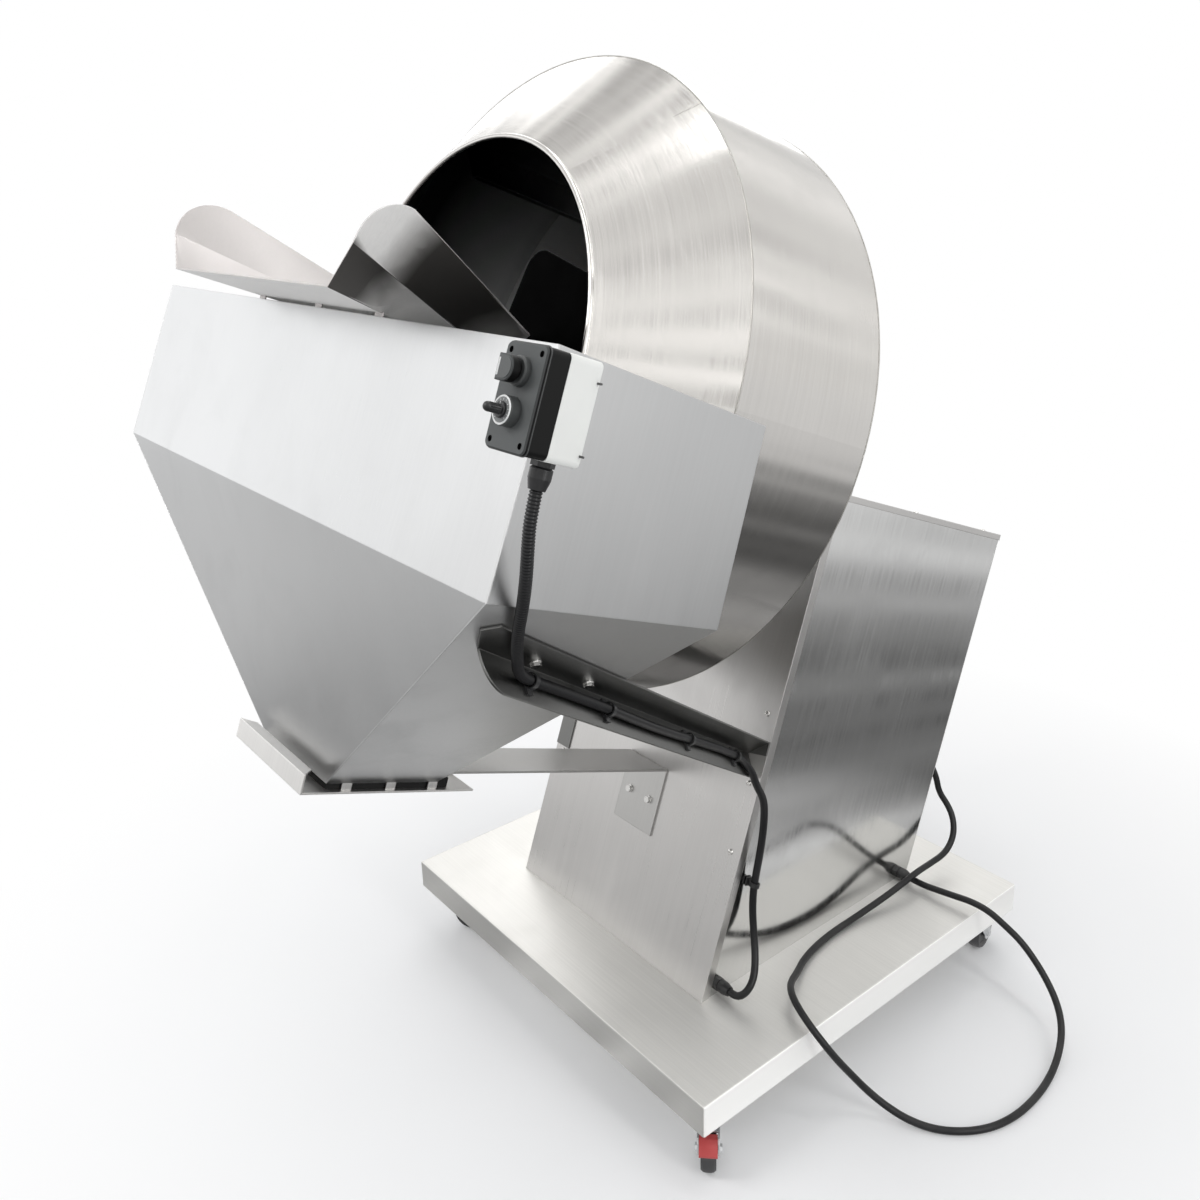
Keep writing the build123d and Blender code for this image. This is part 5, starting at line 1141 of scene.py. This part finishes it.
class MIXER_OT_finishes(bpy.types.Operator):
    """Gives every sheet, casting and moulding its finish"""

    bl_idname = "mixer.finishes"
    bl_label = "Finishes"

    def execute(self, context):
        for name, material in finishes(context.scene).items():
            if name in frame["nodes"]:
                mesh = frame["nodes"][name].data
                mesh.materials.clear()
                mesh.materials.append(material)
        return {"FINISHED"}


# Stage

def lamp(name, watts, size, place, target, tint=(1.0, 1.0, 1.0)):
    """A soft area lamp that faces a point."""
    data = bpy.data.lights.new(name, "AREA")
    data.shape = "RECTANGLE"
    data.size, data.size_y = size
    data.energy = watts
    data.color = tint
    piece = bpy.data.objects.new(name, data)
    bpy.context.scene.collection.objects.link(piece)
    piece.location = place
    piece.rotation_euler = (Vector(target) - Vector(place)).to_track_quat("-Z", "Y").to_euler()


@once("node_groups", "Room bands")
def room_bands(name):
    """Light and dark bands round the drum's axis, as a workshop's lamps and walls give them."""
    tree, given, result = new_group(name, [("Vector", "Vector", None)], [("Light", "Float")])
    turn = (LEAN - radians(90), 0.0, 0.0)
    parts = apart(add(tree, "Mapping", {"Vector": given["Vector"], "Rotation": turn})[0])
    flat = add(tree, "CombineXYZ", {"X": parts["X"], "Y": parts["Y"]})[0]
    flat = add(tree, "VectorMath", {0: flat}, operation="NORMALIZE")[0]
    bands = noise(flat, 12.0, 2.0)
    plug(result["Light"], ramp(bands, 0.54, 0.64) + 1.0 - ramp(bands, 0.48, 0.38) * 0.35)
    return tree


def mixed(share, first, second):
    """A mix of two shaders."""
    return add(share.tree, "MixShader", {0: share, 1: first, 2: second})[0]


def room():
    """A white room for the camera, softly banded for the metal, and an even grey for the rest."""
    world = bpy.data.worlds.new("Studio room")
    bpy.context.scene.world = world
    world.use_nodes = True
    tree = world.node_tree
    tree.nodes.clear()
    way = add(tree, "TexCoord")["Generated"]
    parts = apart(way)
    steep = ramp(parts["Z"].math("ABSOLUTE"), 0.10, 0.32)
    bands = add(tree, "Group", {"Vector": way}, node_tree=room_bands())["Light"] - 1.0
    side = ramp(parts["X"], 0.0, 1.0, 0.45, 0.95)
    soft, banded, white = (
        add(tree, "Background", {"Color": (*tint, 1), "Strength": strength})[0]
        for tint, strength in (((0.97, 0.985, 1.0), side), ((1.0, 0.995, 0.985), bands * steep + 0.98),
                               ((1, 1, 1), 1.0)))
    rays = add(tree, "LightPath")
    direct = rays["Is Camera Ray"].math("MAXIMUM", rays["Is Transmission Ray"])
    add(tree, "OutputWorld", {0: mixed(direct, mixed(rays["Is Glossy Ray"], soft, banded), white)})


def floor(tint):
    """The pale floor, which fades to white far from the machine and shows the metal painted pools of light:
    to glossy rays it glows, in bands and dimmer to the right.
    """
    plane = start("plane", size=60.0)
    plane.name = "studio_floor"
    material, tree, shader = blank_material("Studio floor")
    place = add(tree, "TexCoord")["Object"]
    rays = add(tree, "LightPath")
    tone = ramp(noise(place, 3.0, 3.0), 0.3, 0.7, 0.995, 1.005)
    tone = tone * ramp(rays["Is Camera Ray"], 0.0, 1.0, 1.0, 1.18)
    plug(shader.inputs["Base Color"], vectors("SCALE", (*tint,), tone)[0])
    shader.inputs["Roughness"].default_value = 0.9
    shader.inputs["Specular IOR Level"].default_value = 0.0
    far = add(tree, "VectorMath", {0: place}, operation="LENGTH")["Value"]
    direct = rays["Is Camera Ray"].math("MAXIMUM", rays["Is Transmission Ray"])
    glow = add(tree, "Emission", {"Color": (1, 1, 1, 1), "Strength": 1.0})[0]
    seen = mixed(ramp(far, 0.5, 1.7) * direct, Value(shader.outputs[0]), glow)
    from_drum = vectors("SUBTRACT", place, (0.0, -0.1, 1.2), tree)[0]
    bands = add(tree, "Group", {"Vector": from_drum}, node_tree=room_bands())["Light"]
    bands = (bands - 1.0) * ramp(far, 4.0, 2.0) + 1.0
    spread = apart(place)
    wide = ramp(far, 1.9, 4.2) * ramp(spread["Y"], -1.2, -3.6, 1.0, 0.66)
    pool = ramp(far, 0.80, 1.15, 0.75, 0.0).math("MAXIMUM", wide)
    dim = ramp(spread["X"], -0.2, 0.6, 0.44, 0.20)
    pooled = add(tree, "Emission", {"Color": (1, 1, 1, 1), "Strength": ((1.0 - pool) * dim + pool) * bands})
    out = next(node for node in tree.nodes if node.type == "OUTPUT_MATERIAL")
    plug(out.inputs[0], mixed(rays["Is Glossy Ray"], seen, pooled[0]))
    plane.data.materials.append(material)


def camera():
    """The photograph's camera."""
    data = bpy.data.cameras.new("photo_camera")
    data.lens = 33.264
    data.sensor_width = 36.0
    data.shift_y = -0.0667
    data.clip_end = 200.0
    piece = bpy.data.objects.new("photo_camera", data)
    bpy.context.scene.collection.objects.link(piece)
    piece.matrix_world = Matrix.Translation(CAMERA_PLACE)
    for angle, axis in ((CAMERA_TURN, "Z"), (90 - CAMERA_RISE, "X"), (CAMERA_ROLL, "Z")):
        piece.matrix_world @= Matrix.Rotation(radians(angle), 4, axis)
    bpy.context.scene.camera = piece


class MIXER_OT_stage(bpy.types.Operator):
    """Sets the floor, the lamps and the camera"""

    bl_idname = "mixer.stage"
    bl_label = "Stage"

    def execute(self, context):
        values = context.scene.mixer_stage
        clear_picks()
        camera()
        room()
        floor(values.floor)
        lamp("key_lamp", values.key, (1.6, 1.6), (-1.0, -3.2, 3.6), (0, -0.3, 0.8))
        lamp("left_lamp", values.left, (3.2, 2.6), (-3.6, -2.1, 1.9), (0, -0.8, 1.2), (0.95, 0.97, 1.0))
        lamp("back_lamp", values.back, (2.6, 2.6), (-2.4, 1.9, 3.0), (0, 0, 0.2))
        lamp("fill_lamp", values.fill, (0.5, 2.6), (3.6, -0.2, 2.2), (0, -0.2, 0.8))
        for i, (x, y) in enumerate(((-0.5, 0.3), (0.9, 0.2))):
            lamp("top_lamp_%d" % i, values.top, (0.22, 2.4), (x, y, 3.4), (0, -0.2, 1.0))
        context.scene.view_settings.view_transform = "Standard"
        return {"FINISHED"}


class MIXER_PT_panel(bpy.types.Panel):
    """Lists the mixer's pieces, sizes and colours"""

    bl_idname = "MIXER_PT_panel"
    bl_label = "Salt mixer"
    bl_space_type = "VIEW_3D"
    bl_region_type = "UI"
    bl_category = "Salt mixer"

    def draw(self, context):
        for operator in OPERATORS:
            self.layout.operator(operator.bl_idname)
        for name in SETTINGS:
            group = getattr(context.scene, name)
            column = self.layout.column()
            for key in group.__annotations__:
                column.prop(group, key)


SETTINGS = {
    "mixer_steel": MixerSteelSettings,
    "mixer_cords": MixerCordSettings,
    "mixer_fittings": MixerFittingSettings,
    "mixer_stage": MixerStageSettings,
}
OPERATORS = (
    MIXER_OT_stage, MIXER_OT_power_cord, MIXER_OT_conduit, MIXER_OT_finishes, MIXER_OT_welds,
    MIXER_OT_screws, MIXER_OT_station, MIXER_OT_marks, MIXER_OT_chute, MIXER_OT_outlet,
)


def register():
    """Registers the settings, the operators and the panel."""
    for name, kind in SETTINGS.items():
        bpy.utils.register_class(kind)
        setattr(bpy.types.Scene, name, bpy.props.PointerProperty(type=kind))
    for kind in (*OPERATORS, MIXER_PT_panel):
        bpy.utils.register_class(kind)


def unregister():
    """Removes them again."""
    for kind in (MIXER_PT_panel, *reversed(OPERATORS)):
        bpy.utils.unregister_class(kind)
    for name, kind in reversed(SETTINGS.items()):
        delattr(bpy.types.Scene, name)
        bpy.utils.unregister_class(kind)


def main():
    """Registers the add-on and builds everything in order."""
    register()
    for operator in OPERATORS:
        space, name = operator.bl_idname.split(".")
        getattr(getattr(bpy.ops, space), name)()
    clear_picks()


if __name__ == "__main__":
    main()
